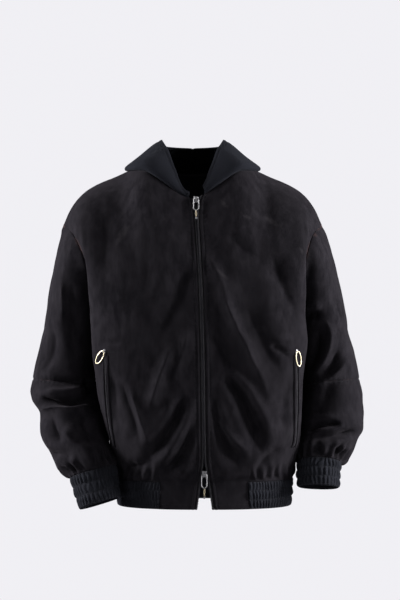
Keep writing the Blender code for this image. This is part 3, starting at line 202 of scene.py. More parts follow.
def between(rows, name, at):
    """Value of a named column at a key, on a smooth curve that never overshoots its rows."""
    ordered = sorted(rows, key=lambda row: row[0])
    keys = [row[0] for row in ordered]
    values = [getattr(row, name) for row in ordered]
    if at <= keys[0]:
        return values[0]
    if at >= keys[-1]:
        return values[-1]
    i = max(k for k in range(len(keys) - 1) if keys[k] <= at)
    rise = [(values[k + 1] - values[k]) / (keys[k + 1] - keys[k]) for k in range(len(keys) - 1)]

    def slope(k):
        if k == 0:
            return rise[0]
        if k == len(keys) - 1:
            return rise[-1]
        if rise[k - 1] * rise[k] <= 0.0:
            return 0.0
        return 2.0 * rise[k - 1] * rise[k] / (rise[k - 1] + rise[k])

    span = keys[i + 1] - keys[i]
    t = (at - keys[i]) / span
    low, high = slope(i) * span, slope(i + 1) * span
    return (values[i] * (1 + 2 * t) * (1 - t) ** 2 + low * t * (1 - t) ** 2
            + values[i + 1] * t * t * (3 - 2 * t) - high * t * t * (1 - t))


def along(points, shares):
    """Points of a polyline at shares of its length."""
    steps = np.linalg.norm(np.diff(points, axis=0), axis=1)
    length = np.concatenate([[0.0], np.cumsum(steps)])
    wanted = np.asarray(shares) * length[-1]
    return np.stack([np.interp(wanted, length, points[:, k]) for k in range(3)], axis=1)


def bezier(start, leave, arrive, end, shares):
    t = np.asarray(shares)[:, None]
    a, b, c, d = (np.asarray(p, float) for p in (start, np.add(start, leave),
                                                 np.subtract(end, arrive), end))
    return a * (1 - t) ** 3 + 3 * b * t * (1 - t) ** 2 + 3 * c * t * t * (1 - t) + d * t ** 3


def unit(vectors):
    return vectors / np.maximum(np.linalg.norm(vectors, axis=-1, keepdims=True), 1e-9)


def normals_of(grid, closed=False, flip=1.0):
    """Unit normals of a grid of points."""
    if closed:
        wide = np.concatenate([grid[:, -1:], grid, grid[:, :1]], axis=1)
        across = np.gradient(wide, axis=1)[:, 1:-1]
    else:
        across = np.gradient(grid, axis=1)
    return unit(np.cross(across, np.gradient(grid, axis=0))) * flip


def zip_x(z):
    return between(ZIP_LINE, "x", z)


def ring_line(side, face, z):
    """Half of the torso's outline at a height, from the middle round to the side."""
    half = between(TORSO, "right_half" if side == RIGHT else "left_half", z)
    t = np.linspace(0.0, math.pi / 2, 241)
    lines = {}
    for which, square in ((FRONT, "square"), (BACK, "back_square")):
        power = 2 / between(TORSO, square, z)
        y = np.cos(t) ** power * between(TORSO, "front" if which == FRONT else "back", z)
        y[-1] = 0.0
        x = np.sin(t) ** power * half
        lines[which] = (x - between(TORSO, "press", z) * np.exp(-(y / PRESS_REACH) ** 2), y)
    x, y = lines[face]
    x = np.maximum(x, 0.0) * half / lines[FRONT][0].max()
    if face == FRONT:
        start = between(ZIP_LINE, "reach", z)
        inner_y = np.interp(start, x[:100], y[:100])
        keep = x > start + 1e-5
        x = np.concatenate([[start], x[keep]])
        y = np.concatenate([[inner_y], y[keep]])
    return np.stack([zip_x(z) + side * x, face * y, np.full(len(x), z)], axis=1)


def neck_point(side, turn):
    r, z = between(NECKLINE, "r", turn), between(NECKLINE, "z", turn)
    angle = math.radians(turn)
    return np.array([NECK_X + side * r * math.sin(angle), -r * math.cos(angle), z])


def neck_start(side):
    """Turn at which a front's edge meets the neckline."""
    turn = 8.0
    for _ in range(12):
        r, z = between(NECKLINE, "r", turn), between(NECKLINE, "z", turn)
        edge = zip_x(z) + side * between(ZIP_LINE, "reach", z)
        turn = math.degrees(math.asin(side * (edge - NECK_X) / r))
    return turn



def lumps(points, size, seed):
    """Smooth random swell of cloth, from -1 to 1, whose swells are about size metres wide."""
    table = np.random.RandomState(seed).uniform(-1.0, 1.0, (24, 24, 24))
    at = points / size
    low = np.floor(at).astype(int)
    part = at - low
    part = part * part * (3 - 2 * part)
    total = np.zeros(points.shape[:-1])
    for dx in (0, 1):
        for dy in (0, 1):
            for dz in (0, 1):
                weight = ((part[..., 0] if dx else 1 - part[..., 0])
                          * (part[..., 1] if dy else 1 - part[..., 1])
                          * (part[..., 2] if dz else 1 - part[..., 2]))
                total += weight * table[(low[..., 0] + dx) % 24, (low[..., 1] + dy) % 24,
                                        (low[..., 2] + dz) % 24]
    return total


def eased(values):
    values = np.clip(values, 0.0, 1.0)
    return values * values * (3 - 2 * values)


def creased(points, creases):
    """How deep the creases are at each point, seen from the front."""
    x = points[..., 0] + 0.0035 * lumps(points, 0.045, 3)
    z = points[..., 2] + 0.0035 * lumps(points, 0.045, 4)
    depth = np.zeros_like(x)
    for crease in creases:
        start, through, end = (np.array([crease.x0, crease.z0]), np.array([crease.x1, crease.z1]),
                               np.array([crease.x2, crease.z2]))
        bend = 2 * through - (start + end) / 2
        t = np.linspace(0.0, 1.0, 15)[:, None]
        line = start * (1 - t) ** 2 + 2 * bend * t * (1 - t) + end * t * t
        best, aside, share = np.full(x.shape, 9.0), np.zeros_like(x), np.zeros_like(x)
        for k in range(len(line) - 1):
            run = line[k + 1] - line[k]
            s = ((x - line[k, 0]) * run[0] + (z - line[k, 1]) * run[1]) / (run @ run)
            s = np.clip(s, 0.0, 1.0)
            dx, dz = x - line[k, 0] - s * run[0], z - line[k, 1] - s * run[1]
            far = np.hypot(dx, dz)
            nearer = far < best
            best = np.where(nearer, far, best)
            share = np.where(nearer, (k + s) / (len(line) - 1), share)
            aside = np.where(nearer, np.sign(run[0] * dz - run[1] * dx), aside)
        taper = eased(np.minimum(share, 1 - share) / 0.32)
        width = 0.92 * crease.width * (0.75 + 0.5 * share)
        trough = np.exp(-(best / width) ** 2) + 0.35 * np.exp(-(best / (0.35 * width)) ** 2)
        beside = np.exp(-((best - 2.0 * width) / (1.0 * width)) ** 2)
        beside = beside * np.where(aside > 0, 1.0, 0.55)
        depth += FOLD_GAIN * crease.depth * taper * (trough - crease.lip * beside)
    return depth


def lengths(grid, axis):
    """Distance walked along a grid's rows or columns from its first point."""
    steps = np.linalg.norm(np.diff(grid, axis=axis), axis=-1)
    zero = np.zeros_like(np.take(steps, [0], axis=axis))
    return np.concatenate([zero, np.cumsum(steps, axis=axis)], axis=axis)


def away(distance, reach):
    """0 at a seam, rising to 1 beyond its reach."""
    return 1 - np.exp(-(distance / reach) ** 2)


def top_point(side, face, share):
    if share <= NECK_SHARE:
        start, end = (neck_start(side), 90.0) if face == FRONT else (180.0, 90.0)
        return neck_point(side, start + (end - start) * share / NECK_SHARE)
    part = (share - NECK_SHARE) / (1 - NECK_SHARE)
    return np.array([NECK_X + side * between(SHOULDER, "out", part), 0.008 * part,
                     between(SHOULDER, "z", part)])


def smooth_quarter(side, face):
    """Outer points of a quarter of the body: rows go down, columns from the middle to the side."""
    rings = [between(COLUMNS[face], "ring", share) for share in SHARES]
    base = along(ring_line(side, face, UNDERARM_Z), rings)
    upper = np.zeros((len(UPPER_STEPS), len(SHARES), 3))
    for i, share in enumerate(SHARES):
        leave, arrive = (np.array([between(COLUMNS[face], f"{which}_{axis}", share)
                                   for axis in "xyz"]) * (side, 1, 1)
                         for which in ("leave", "arrive"))
        upper[:, i] = bezier(top_point(side, face, share), leave, arrive, base[i], UPPER_STEPS)
    near = np.exp(-((np.arange(len(SHARES)) - NECK_CORNER) / 12.0) ** 2)
    for row, step in zip(upper, UPPER_STEPS):
        padded = np.pad(row, ((9, 9), (0, 0)), mode="edge")
        even = sum(padded[k:k + len(row)] for k in range(19)) / 19
        row += (even - row) * (near * eased(step / 0.16))[:, None]
    if face == FRONT:
        for row in upper:
            edge = zip_x(row[0, 2]) + side * between(ZIP_LINE, "reach", row[0, 2])
            row[:, 0] += (edge - row[0, 0]) * np.clip(1 - SHARES / 0.3, 0, 1) ** 2
    heights = np.concatenate([LOWER_HEIGHTS, TAB_HEIGHTS])
    lower = np.stack([along(ring_line(side, face, z), rings) for z in heights])
    return np.concatenate([upper, lower])


def hung_quarter(side, face):
    """The same points with the cloth's folds, seams and gathers, and how worn each place is."""
    grid = smooth_quarter(side, face)
    outward = normals_of(grid, flip=side * face)
    across, down = lengths(grid, 1), lengths(grid, 0)
    from_side = across[:, -1:] - across
    above_band = np.abs(grid[..., 2] - BAND_TOP_Z)
    beyond_tab = eased((SHARES - TAB_SHARE) / 0.02)[None, :]
    loose = (away(from_side, 0.012) * away(down, 0.012)
             * (1 - beyond_tab * np.exp(-(above_band / 0.006) ** 2)))
    if face == FRONT:
        under_ring = np.hypot(grid[..., 0] - side * 0.1985, grid[..., 2] + 0.378)
        loose = loose * (0.12 + 0.88 * away(under_ring, 0.026))
        loose = loose * away(across, 0.010) * (1 - eased((BAND_TOP_Z - 0.02 - grid[..., 2]) / 0.03))
    tall = grid * (1.0, 1.0, 0.45)
    swell = 0.0040 * lumps(tall, 0.080, 11) + 0.0017 * lumps(tall, 0.034, 12)
    swell += 0.0006 * lumps(grid * (1.0, 1.0, 0.7), 0.014, 13)
    lift = -creased(grid, BODY_CREASES[face]) + swell
    # gathers where the elastic band draws the cloth in
    near = np.exp(-((grid[..., 2] - BAND_TOP_Z - 0.012) / 0.020) ** 2) * beyond_tab
    wander = 1.3 * lumps(grid, 0.035, 14)
    lift += 0.0040 * near * np.sin(2 * math.pi * across / 0.021 + 1.5 * wander) * (0.7 + 0.3 * swell / 0.003)
    lift -= 0.0050 * near * np.clip(lumps(grid, 0.028, 18), 0.0, 1.0)
    # puckers along the armhole and a rounded edge at every seam
    pucker = 0.0005 * np.sin(2 * math.pi * down / 0.0095 + 2 * lumps(grid, 0.02, 15))
    lift = lift * loose + pucker * np.exp(-((from_side - 0.005) / 0.005) ** 2) * away(from_side, 0.002)
    lift += 0.0012 * away(from_side, 0.0035) * away(down, 0.0035)
    if face == FRONT:
        rolled = 0.0010 * np.exp(-((across - 0.0028) / 0.0022) ** 2)
        stitched_down = -0.0007 * np.exp(-((across - 0.0066) / 0.0012) ** 2)
        ripple = 0.0004 * np.sin(2 * math.pi * down / 0.011 + 2 * lumps(grid, 0.03, 16))
        lift += rolled + stitched_down + ripple * np.exp(-((across - 0.008) / 0.006) ** 2)
    worn = np.exp(-from_side / 0.006) + 0.8 * np.exp(-down / 0.006)
    worn = worn * np.clip(0.35 + 0.9 * lumps(grid, 0.022, 17), 0.0, 1.0)
    return grid + outward * lift[..., None], np.clip(worn, 0.0, 1.0)


PaleMark = namedtuple("PaleMark", "x z long wide turn")
PALE_SCUFFS_AND_HIGHLIGHT = [                # pale rubbed places and one painted highlight, as seen from the front
    PaleMark(0.052, -0.070, 0.018, 0.0060, -50),
    PaleMark(0.098, -0.096, 0.016, 0.0040, -20),
    PaleMark(0.050, -0.212, 0.022, 0.0045, -40),
    PaleMark(-0.086, -0.114, 0.007, 0.0035, 15),
    # painted highlight: this long thin pale streak stands for light along the right sleeve's lengthwise
    # crease, not for wear
    PaleMark(-0.276, -0.252, 0.036, 0.0020, -85),
    PaleMark(0.208, -0.164, 0.012, 0.0045, -70),
    PaleMark(-0.150, -0.130, 0.030, 0.0100, 60),
    PaleMark(0.150, -0.105, 0.026, 0.0070, -35),
]


def scuffs_and_painted_highlight(points):
    """How far the nap has rubbed pale at each point, with one painted highlight streak down the right
    sleeve.
    """
    rubbed = np.zeros(points.shape[:-1])
    for pale_mark in PALE_SCUFFS_AND_HIGHLIGHT:
        turn = math.radians(pale_mark.turn)
        x, z = points[..., 0] - pale_mark.x, points[..., 2] - pale_mark.z
        ahead, aside = (x * math.cos(turn) + z * math.sin(turn)) / pale_mark.long, (
            z * math.cos(turn) - x * math.sin(turn)) / pale_mark.wide
        rubbed = np.maximum(rubbed, np.exp(-ahead ** 2 - aside ** 2) * (points[..., 1] < 0.02))
    return rubbed


def shell(name, outer, outward, surfaces, thick=CLOTH, cells=None, closed=False, worn=None):
    """A piece of cloth: outer points, the same moved in by its thickness, and the raw edge between."""
    rows, columns = outer.shape[:2]
    wide = columns if closed else columns - 1
    row, column = np.meshgrid(np.arange(rows - 1), np.arange(wide), indexing="ij")
    after = (column + 1) % columns
    quads = np.stack([row * columns + column, row * columns + after,
                      (row + 1) * columns + after, (row + 1) * columns + column], axis=-1)
    ring = np.concatenate([outer, outer[:, :1]], axis=1) if closed else outer
    u, v = lengths(ring, 1), lengths(ring, 0)
    corner = [(row, column), (row, column + 1), (row + 1, column + 1), (row + 1, column)]
    laid = np.stack([np.stack([u[r, c], v[r, c]], axis=-1) for r, c in corner], axis=-2)
    keep = np.ones(quads.shape[:2], bool) if cells is None else cells
    quads, laid = quads[keep], laid[keep]
    points = outer.reshape(-1, 3)
    total = len(points)
    a, b, d = points[quads[:, 0]], points[quads[:, 1]], points[quads[:, 3]]
    if np.sum(np.cross(b - a, d - a) * outward.reshape(-1, 3)[quads[:, 0]]) < 0.0:
        quads, laid = quads[:, ::-1], laid[:, ::-1]
    begins, ends = quads.ravel(), np.roll(quads, -1, axis=1).ravel()
    free = ~np.isin(begins * total + ends, ends * total + begins)
    rim = np.stack([ends[free], begins[free], begins[free] + total, ends[free] + total], axis=1)
    rim_laid = np.repeat(laid.reshape(-1, 2)[free][:, None], 4, axis=1)
    faces = np.concatenate([quads, quads[:, ::-1] + total, rim])
    laid = np.concatenate([laid, laid[:, ::-1], rim_laid])
    side_of = np.concatenate([np.zeros(len(quads), int), np.ones(len(quads), int),
                              np.zeros(len(rim), int)])
    points = np.concatenate([points, (outer - outward * thick).reshape(-1, 3)])
    used, faces = np.unique(faces, return_inverse=True)
    faces = faces.reshape(-1, 4)
    mesh = bpy.data.meshes.new(name)
    mesh.vertices.add(len(used))
    mesh.vertices.foreach_set("co", points[used].ravel())
    mesh.loops.add(faces.size)
    mesh.loops.foreach_set("vertex_index", faces.ravel())
    mesh.polygons.add(len(faces))
    mesh.polygons.foreach_set("loop_start", np.arange(len(faces)) * 4)
    mesh.polygons.foreach_set("material_index", side_of)
    mesh.uv_layers.new(name="laid_flat").data.foreach_set("uv", laid.ravel())
    if worn is not None:
        worn = np.concatenate([worn.ravel(), worn.ravel()])[used]
        mesh.attributes.new("worn", "FLOAT", "POINT").data.foreach_set("value", worn)
        # pale rubbed nap, plus a painted highlight streak down the right sleeve
        rubbed = scuffs_and_painted_highlight(points[used])
        mesh.attributes.new("scuffs_and_painted_highlight", "FLOAT", "POINT").data.foreach_set("value", rubbed)
    mesh.update(calc_edges=True)
    mesh.validate()
    for surface in surfaces:
        mesh.materials.append(surface)
    mesh.shade_smooth()
    piece = bpy.data.objects.new(name, mesh)
    bpy.context.scene.collection.objects.link(piece)
    return piece


def linked(tree, kind, places=(), **settings):
    """A node of a finish, with its settings and the sockets that feed it."""
    node = tree.nodes.new(kind)
    for key, value in settings.items():
        if key in node.inputs:
            node.inputs[key].default_value = value
        else:
            setattr(node, key, value)
    for socket, source in places:
        tree.links.new(source, node.inputs[socket])
    return node


def new_finish(name, rough, sheen=0.0, metallic=0.0):
    made = bpy.data.materials.new(name)
    made.use_nodes = True
    shader = made.node_tree.nodes["Principled BSDF"]
    shader.inputs["Roughness"].default_value = rough
    shader.inputs["Metallic"].default_value = metallic
    shader.inputs["Sheen Weight"].default_value = sheen
    return made, made.node_tree, shader


def noise(tree, where, scale, detail=3.0, roughness=0.5, stretch=None):
    if stretch is not None:
        where = linked(tree, "ShaderNodeMapping", [("Vector", where)], Scale=stretch).outputs[0]
    return linked(tree, "ShaderNodeTexNoise", [("Vector", where)], Scale=scale, Detail=detail,
                  Roughness=roughness).outputs["Fac"]


def ranged(tree, value, low, high, to_low=0.0, to_high=1.0):
    node = linked(tree, "ShaderNodeMapRange", [("Value", value)])
    for socket, number in (("From Min", low), ("From Max", high), ("To Min", to_low),
                           ("To Max", to_high)):
        node.inputs[socket].default_value = number
    return node.outputs[0]


def blended(tree, factor, first, second):
    """Colour between two colours or colour sockets."""
    node = linked(tree, "ShaderNodeMix", data_type="RGBA")
    tree.links.new(factor, node.inputs[0])
    for socket, colour in ((6, first), (7, second)):
        if isinstance(colour, tuple):
            node.inputs[socket].default_value = (*colour, 1.0)
        else:
            tree.links.new(colour, node.inputs[socket])
    return node.outputs[2]


def raised(tree, height, distance, strength, under=None):
    places = [("Height", height)] + ([("Normal", under)] if under is not None else [])
    return linked(tree, "ShaderNodeBump", places, Distance=distance,
                  Strength=strength).outputs[0]


def suede_finish():
    """Black napped suede: brushed patches, fine nap, brown where the dye has rubbed off."""
    made, tree, shader = new_finish("black_suede", 0.9, sheen=0.010)
    where = tree.nodes.new("ShaderNodeTexCoord").outputs["Object"]
    patch = noise(tree, where, 13.0, 5.0, 0.62)
    brushed = noise(tree, where, 70.0, 5.0, 0.65, stretch=(1.0, 1.0, 0.45))
    nap = noise(tree, where, 950.0, 3.0, 0.7)
    dark = blended(tree, ranged(tree, patch, 0.34, 0.68), (0.0013, 0.0012, 0.0015),
                   (0.0023, 0.0021, 0.0025))
    streaked = blended(tree, ranged(tree, brushed, 0.40, 0.72), dark, (0.0034, 0.0031, 0.0037))
    speckled = blended(tree, ranged(tree, nap, 0.45, 0.80, 0.0, 0.45), streaked,
                       (0.0056, 0.0051, 0.0060))
    rubbed = linked(tree, "ShaderNodeAttribute", attribute_name="worn").outputs["Fac"]
    patchy = linked(tree, "ShaderNodeMath", [(0, rubbed), (1, brushed)], operation="MULTIPLY")
    colour = blended(tree, ranged(tree, patchy.outputs[0], 0.18, 0.55), speckled,
                     (0.0090, 0.0055, 0.0054))
    # lightens the colour where the nap is rubbed pale and along the painted highlight streak on the right
    # sleeve
    pale = linked(tree, "ShaderNodeAttribute", attribute_name="scuffs_and_painted_highlight").outputs["Fac"]
    streaky = linked(tree, "ShaderNodeMath", [(0, pale), (1, brushed)], operation="MULTIPLY")
    colour = blended(tree, ranged(tree, streaky.outputs[0], 0.22, 0.62, 0.0, 0.45), colour,
                     (0.0090, 0.0082, 0.0090))
    tree.links.new(colour, shader.inputs["Base Color"])
    tree.links.new(ranged(tree, brushed, 0.3, 0.75, 0.96, 0.74), shader.inputs["Roughness"])
    shader.inputs["Sheen Roughness"].default_value = 0.45
    shader.inputs["Sheen Tint"].default_value = (0.60, 0.54, 0.62, 1.0)
    shader.inputs["Specular IOR Level"].default_value = 0.0
    creasing = noise(tree, where, 210.0, 6.0, 0.7, stretch=(1.0, 1.0, 0.6))
    bump = raised(tree, creasing, 0.0012, 0.30)
    tree.links.new(raised(tree, nap, 0.0005, 0.35, bump), shader.inputs["Normal"])
    return made


def knit_finish(name, dark, light, courses, depth, sheen):
    """Fine smooth knit: columns of loops along the cloth, with a soft bloom."""
    made, tree, shader = new_finish(name, 0.82, sheen=sheen)
    flat = tree.nodes.new("ShaderNodeUVMap").outputs[0]
    where = tree.nodes.new("ShaderNodeTexCoord").outputs["Object"]
    wale = linked(tree, "ShaderNodeTexWave", [("Vector", flat)], bands_direction="X",
                  Scale=courses, Distortion=0.6).outputs["Fac"]
    course = linked(tree, "ShaderNodeTexWave", [("Vector", flat)], bands_direction="Y",
                    Scale=courses * 0.75, Distortion=0.8).outputs["Fac"]
    loops = linked(tree, "ShaderNodeMath", [(0, wale), (1, course)], operation="MULTIPLY").outputs[0]
    bloom = noise(tree, where, 24.0, 4.0, 0.6)
    fluff = noise(tree, where, 700.0, 2.0, 0.6)
    base = blended(tree, ranged(tree, bloom, 0.35, 0.68), dark, light)
    lit = blended(tree, ranged(tree, loops, 0.0, 1.0, 0.0, 0.35), base,
                  tuple(1.9 * c for c in light))
    tree.links.new(blended(tree, ranged(tree, fluff, 0.5, 0.8, 0.0, 0.4), lit,
                           tuple(2.2 * c for c in light)), shader.inputs["Base Color"])
    tree.links.new(ranged(tree, bloom, 0.3, 0.7, 0.92, 0.78), shader.inputs["Roughness"])
    shader.inputs["Sheen Roughness"].default_value = 0.5
    shader.inputs["Sheen Tint"].default_value = (0.50, 0.52, 0.60, 1.0)
    shader.inputs["Specular IOR Level"].default_value = 0.0
    bump = raised(tree, loops, depth, 0.6)
    tree.links.new(raised(tree, fluff, 0.0003, 0.3, bump), shader.inputs["Normal"])
    return made


SUEDE = suede_finish()
REVERSE = knit_finish("knitted_reverse", (0.0020, 0.0020, 0.0026), (0.0030, 0.0030, 0.0038), 260.0,
                      0.0003, 0.008)

BODY, BODY_OUT, BODY_WORN = {}, {}, {}
for side in (RIGHT, LEFT):
    for face in (FRONT, BACK):
        BODY[side, face], BODY_WORN[side, face] = hung_quarter(side, face)
        BODY_OUT[side, face] = normals_of(BODY[side, face], flip=side * face)

for side in (RIGHT, LEFT):
    grid = BODY[side, FRONT]
    cells = np.ones((grid.shape[0] - 1, grid.shape[1] - 1), bool)
    cells[BAND_ROW:, TAB_COLUMN:] = False
    front = shell(f"suede_front_{NAMES[side]}", grid, BODY_OUT[side, FRONT], [SUEDE, REVERSE],
                  cells=cells, worn=BODY_WORN[side, FRONT])
    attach(front, "jacket")
    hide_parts(f"front_{NAMES[side]}")

joined = [np.concatenate([grid[RIGHT, BACK][:BAND_ROW + 1, ::-1],
                          grid[LEFT, BACK][:BAND_ROW + 1, 1:]], axis=1)
          for grid in (BODY, BODY_WORN)]
back = shell("suede_back", joined[0], normals_of(joined[0]), [SUEDE, REVERSE], worn=joined[1])
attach(back, "jacket")
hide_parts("back")

# Sleeves
# Wide sleeves of the same suede, set into dropped armholes, with a seam round the elbow. Each
# is two tubes, pushed up by the elastic cuff so that the lower one breaks into soft rolls.

Ring = namedtuple("Ring", "q x y z wide deep lean pitch")
SLEEVE = {
    RIGHT: [
        Ring(1.00, 0.2600, 0.020, -0.330, 0.0565, 0.082, -8, 0),
        Ring(1.15, 0.2675, 0.022, -0.380, 0.0620, 0.081, -8, 0),
        Ring(1.32, 0.2740, 0.020, -0.430, 0.0660, 0.080, -5, 2),
        Ring(1.44, 0.2730, 0.008, -0.465, 0.0685, 0.079, 0, 6),
        Ring(1.54, 0.2582, -0.006, -0.492, 0.0638, 0.073, 3, 9),
        Ring(1.67, 0.2530, -0.024, -0.528, 0.0680, 0.072, 5, 12),
        Ring(1.79, 0.2412, -0.044, -0.560, 0.0608, 0.064, 9, 13),
        Ring(1.92, 0.2272, -0.066, -0.589, 0.0578, 0.056, 13, 12),
        Ring(2.00, 0.2115, -0.080, -0.608, 0.0470, 0.042, 15, 10),
    ],
    LEFT: [
        Ring(1.00, 0.2560, 0.020, -0.330, 0.0525, 0.082, -9, 0),
        Ring(1.15, 0.2640, 0.022, -0.380, 0.0590, 0.081, -8, 0),
        Ring(1.32, 0.2690, 0.020, -0.430, 0.0625, 0.080, -5, 3),
        Ring(1.48, 0.2725, 0.012, -0.480, 0.0655, 0.079, 0, 8),
        Ring(1.62, 0.2710, -0.002, -0.520, 0.0655, 0.075, 3, 14),
        Ring(1.74, 0.2645, -0.014, -0.545, 0.0595, 0.069, 4, 20),
        Ring(1.86, 0.2575, -0.028, -0.567, 0.0550, 0.059, 3, 22),
        Ring(2.00, 0.2450, -0.046, -0.592, 0.0435, 0.041, 2, 20),
    ],
}
SLEEVE_SQUARE = 2.3
ELBOW_SEAM = 1.32

Leave = namedtuple("Leave", "turn out y z reach")
SLEEVE_LEAVE = [
    Leave(0.00, 0.017, 0.000, -0.052, 0.055),
    Leave(0.125, 0.032, -0.008, -0.034, 0.050),
    Leave(0.25, 0.034, 0.008, -0.026, 0.036),
    Leave(0.40, 0.014, 0.006, -0.014, 0.018),
    Leave(0.50, 0.006, 0.000, -0.010, 0.012),
    Leave(0.60, 0.014, -0.006, -0.014, 0.018),
    Leave(0.75, 0.034, -0.006, -0.026, 0.036),
    Leave(0.875, 0.032, 0.010, -0.034, 0.050),
    Leave(1.00, 0.017, 0.000, -0.052, 0.055),
]

SLEEVE_CREASES = {
    (RIGHT, FRONT): [
        Crease(-0.259, -0.078, -0.248, -0.103, -0.235, -0.133, 0.008, 0.0045, 0.5),
        Crease(-0.322, -0.451, -0.278, -0.468, -0.203, -0.460, 0.009, 0.0120, 0.6),
        Crease(-0.318, -0.476, -0.262, -0.478, -0.200, -0.476, 0.006, -0.0050, 0.0),
        Crease(-0.301, -0.482, -0.287, -0.521, -0.267, -0.554, 0.014, 0.0050, 0.4),
        Crease(-0.236, -0.498, -0.222, -0.521, -0.194, -0.543, 0.016, 0.0060, 0.4),
        Crease(-0.315, -0.582, -0.278, -0.571, -0.242, -0.585, 0.009, 0.0055, 0.4),
        Crease(-0.256, -0.218, -0.253, -0.308, -0.248, -0.397, 0.018, 0.0040, 0.3),
        Crease(-0.278, -0.213, -0.274, -0.263, -0.272, -0.308, 0.006, -0.0022, 0.0),
        Crease(-0.323, -0.409, -0.284, -0.428, -0.211, -0.423, 0.007, 0.0025, 0.5),
        Crease(-0.295, -0.308, -0.298, -0.364, -0.312, -0.420, 0.020, 0.0040, 0.3),
        Crease(-0.228, -0.420, -0.220, -0.442, -0.203, -0.456, 0.009, 0.0045, 0.4),
        Crease(-0.267, -0.510, -0.248, -0.549, -0.194, -0.571, 0.012, -0.0045, 0.0),
    ],
    (LEFT, FRONT): [
        Crease(0.248, -0.103, 0.231, -0.115, 0.217, -0.130, 0.007, 0.0040, 0.5),
        Crease(0.214, -0.283, 0.232, -0.274, 0.251, -0.281, 0.009, -0.0060, 0.0),
        Crease(0.212, -0.302, 0.232, -0.292, 0.249, -0.302, 0.009, 0.0060, 0.3),
        Crease(0.253, -0.302, 0.265, -0.358, 0.226, -0.434, 0.011, -0.0065, 0.0),
        Crease(0.240, -0.319, 0.242, -0.364, 0.220, -0.414, 0.012, 0.0060, 0.2),
        Crease(0.307, -0.372, 0.270, -0.417, 0.228, -0.439, 0.010, -0.0060, 0.0),
        Crease(0.287, -0.353, 0.270, -0.392, 0.248, -0.420, 0.012, 0.0050, 0.2),
        Crease(0.290, -0.511, 0.251, -0.514, 0.202, -0.529, 0.008, 0.0085, 0.5),
        Crease(0.321, -0.524, 0.273, -0.532, 0.204, -0.541, 0.008, 0.0075, 0.5),
        Crease(0.270, -0.411, 0.254, -0.468, 0.220, -0.482, 0.018, 0.0035, 0.2),
        Crease(0.242, -0.549, 0.246, -0.568, 0.251, -0.588, 0.007, 0.0045, 0.4),
        Crease(0.276, -0.549, 0.282, -0.566, 0.290, -0.580, 0.008, 0.0040, 0.4),
        Crease(0.265, -0.151, 0.276, -0.229, 0.282, -0.308, 0.022, 0.0030, 0.2),
        Crease(0.209, -0.151, 0.220, -0.185, 0.220, -0.229, 0.010, 0.0030, 0.3),
    ],
    (RIGHT, BACK): [
        Crease(-0.335, -0.440, -0.270, -0.465, -0.200, -0.462, 0.010, 0.0100, 0.5),
        Crease(-0.318, -0.510, -0.260, -0.525, -0.200, -0.548, 0.010, 0.0070, 0.4),
        Crease(-0.260, -0.150, -0.285, -0.250, -0.300, -0.360, 0.020, 0.0045, 0.3),
        Crease(-0.220, -0.290, -0.250, -0.340, -0.300, -0.380, 0.012, 0.0050, 0.4),
        Crease(-0.300, -0.560, -0.260, -0.570, -0.215, -0.582, 0.009, 0.0045, 0.4),
    ],
    (LEFT, BACK): [
        Crease(0.335, -0.445, 0.270, -0.470, 0.205, -0.470, 0.010, 0.0100, 0.5),
        Crease(0.320, -0.515, 0.265, -0.530, 0.210, -0.550, 0.010, 0.0070, 0.4),
        Crease(0.262, -0.150, 0.285, -0.250, 0.300, -0.350, 0.020, 0.0045, 0.3),
        Crease(0.222, -0.280, 0.255, -0.330, 0.305, -0.372, 0.012, 0.0050, 0.4),
    ],
}

HEAD_STEPS = np.concatenate([[0.0, 0.02, 0.045, 0.075], np.linspace(0.11, 1.0, 27)[:-1]])
UPPER_STATIONS = np.concatenate([np.linspace(1.0, 1.29, 30), [1.300, 1.308, 1.314, ELBOW_SEAM]])
LOWER_STATIONS = np.concatenate([[1.326, 1.332, 1.340], np.linspace(1.352, 1.975, 56),
                                 [1.984, 1.992, 2.000]])
ELBOW_ROW = len(HEAD_STEPS) + len(UPPER_STATIONS) - 1
SLEEVE_TURNS = np.concatenate([UPPER_STEPS * 0.5, [0.5], 1 - UPPER_STEPS[:0:-1] * 0.5])


def ring_points(side, centre, wide, deep, lean, pitch, turns):
    """Oval ring of a sleeve or cuff: turns run from the outer side round the front."""
    tilt, nod = math.radians(lean), math.radians(pitch)
    out = np.array([side * math.cos(tilt), 0.0, -math.sin(tilt)])
    ahead = np.array([0.0, -math.cos(nod), math.sin(nod)])
    angle = 2 * math.pi * np.asarray(turns)
    power = 2 / SLEEVE_SQUARE
    across = np.sign(np.cos(angle)) * np.abs(np.cos(angle)) ** power * wide
    along_y = np.sign(np.sin(angle)) * np.abs(np.sin(angle)) ** power * deep
    return np.asarray(centre) + across[:, None] * out + along_y[:, None] * ahead


def ring_at(side, q, turns):
    values = {name: between(SLEEVE[side], name, q) for name in Ring._fields[1:]}
    centre = (side * values["x"], values["y"], values["z"])
    return ring_points(side, centre, values["wide"], values["deep"], values["lean"],
                       values["pitch"], turns)


def smooth_sleeve(side):
    """Outer points of a sleeve: rows go down from the armhole, columns run round from the top."""
    front, back = BODY[side, FRONT], BODY[side, BACK]
    armhole = np.concatenate([front[:UNDERARM_ROW + 1, -1], back[UNDERARM_ROW - 1:0:-1, -1]])
    first = ring_at(side, 1.0, SLEEVE_TURNS)
    down = unit((ring_at(side, 1.05, SLEEVE_TURNS) - first).mean(axis=0))
    rows = []
    leave = np.array([[side * between(SLEEVE_LEAVE, "out", t), between(SLEEVE_LEAVE, "y", t),
                       between(SLEEVE_LEAVE, "z", t)] for t in SLEEVE_TURNS])
    reach = np.array([[between(SLEEVE_LEAVE, "reach", t)] for t in SLEEVE_TURNS])
    for t in HEAD_STEPS:
        rows.append(armhole * (1 - t) ** 3 + 3 * (armhole + leave) * t * (1 - t) ** 2
                    + 3 * (first - down * reach) * t * t * (1 - t) + first * t ** 3)
    stations = np.concatenate([UPPER_STATIONS, LOWER_STATIONS])
    return np.stack(rows + [ring_at(side, q, SLEEVE_TURNS) for q in stations])


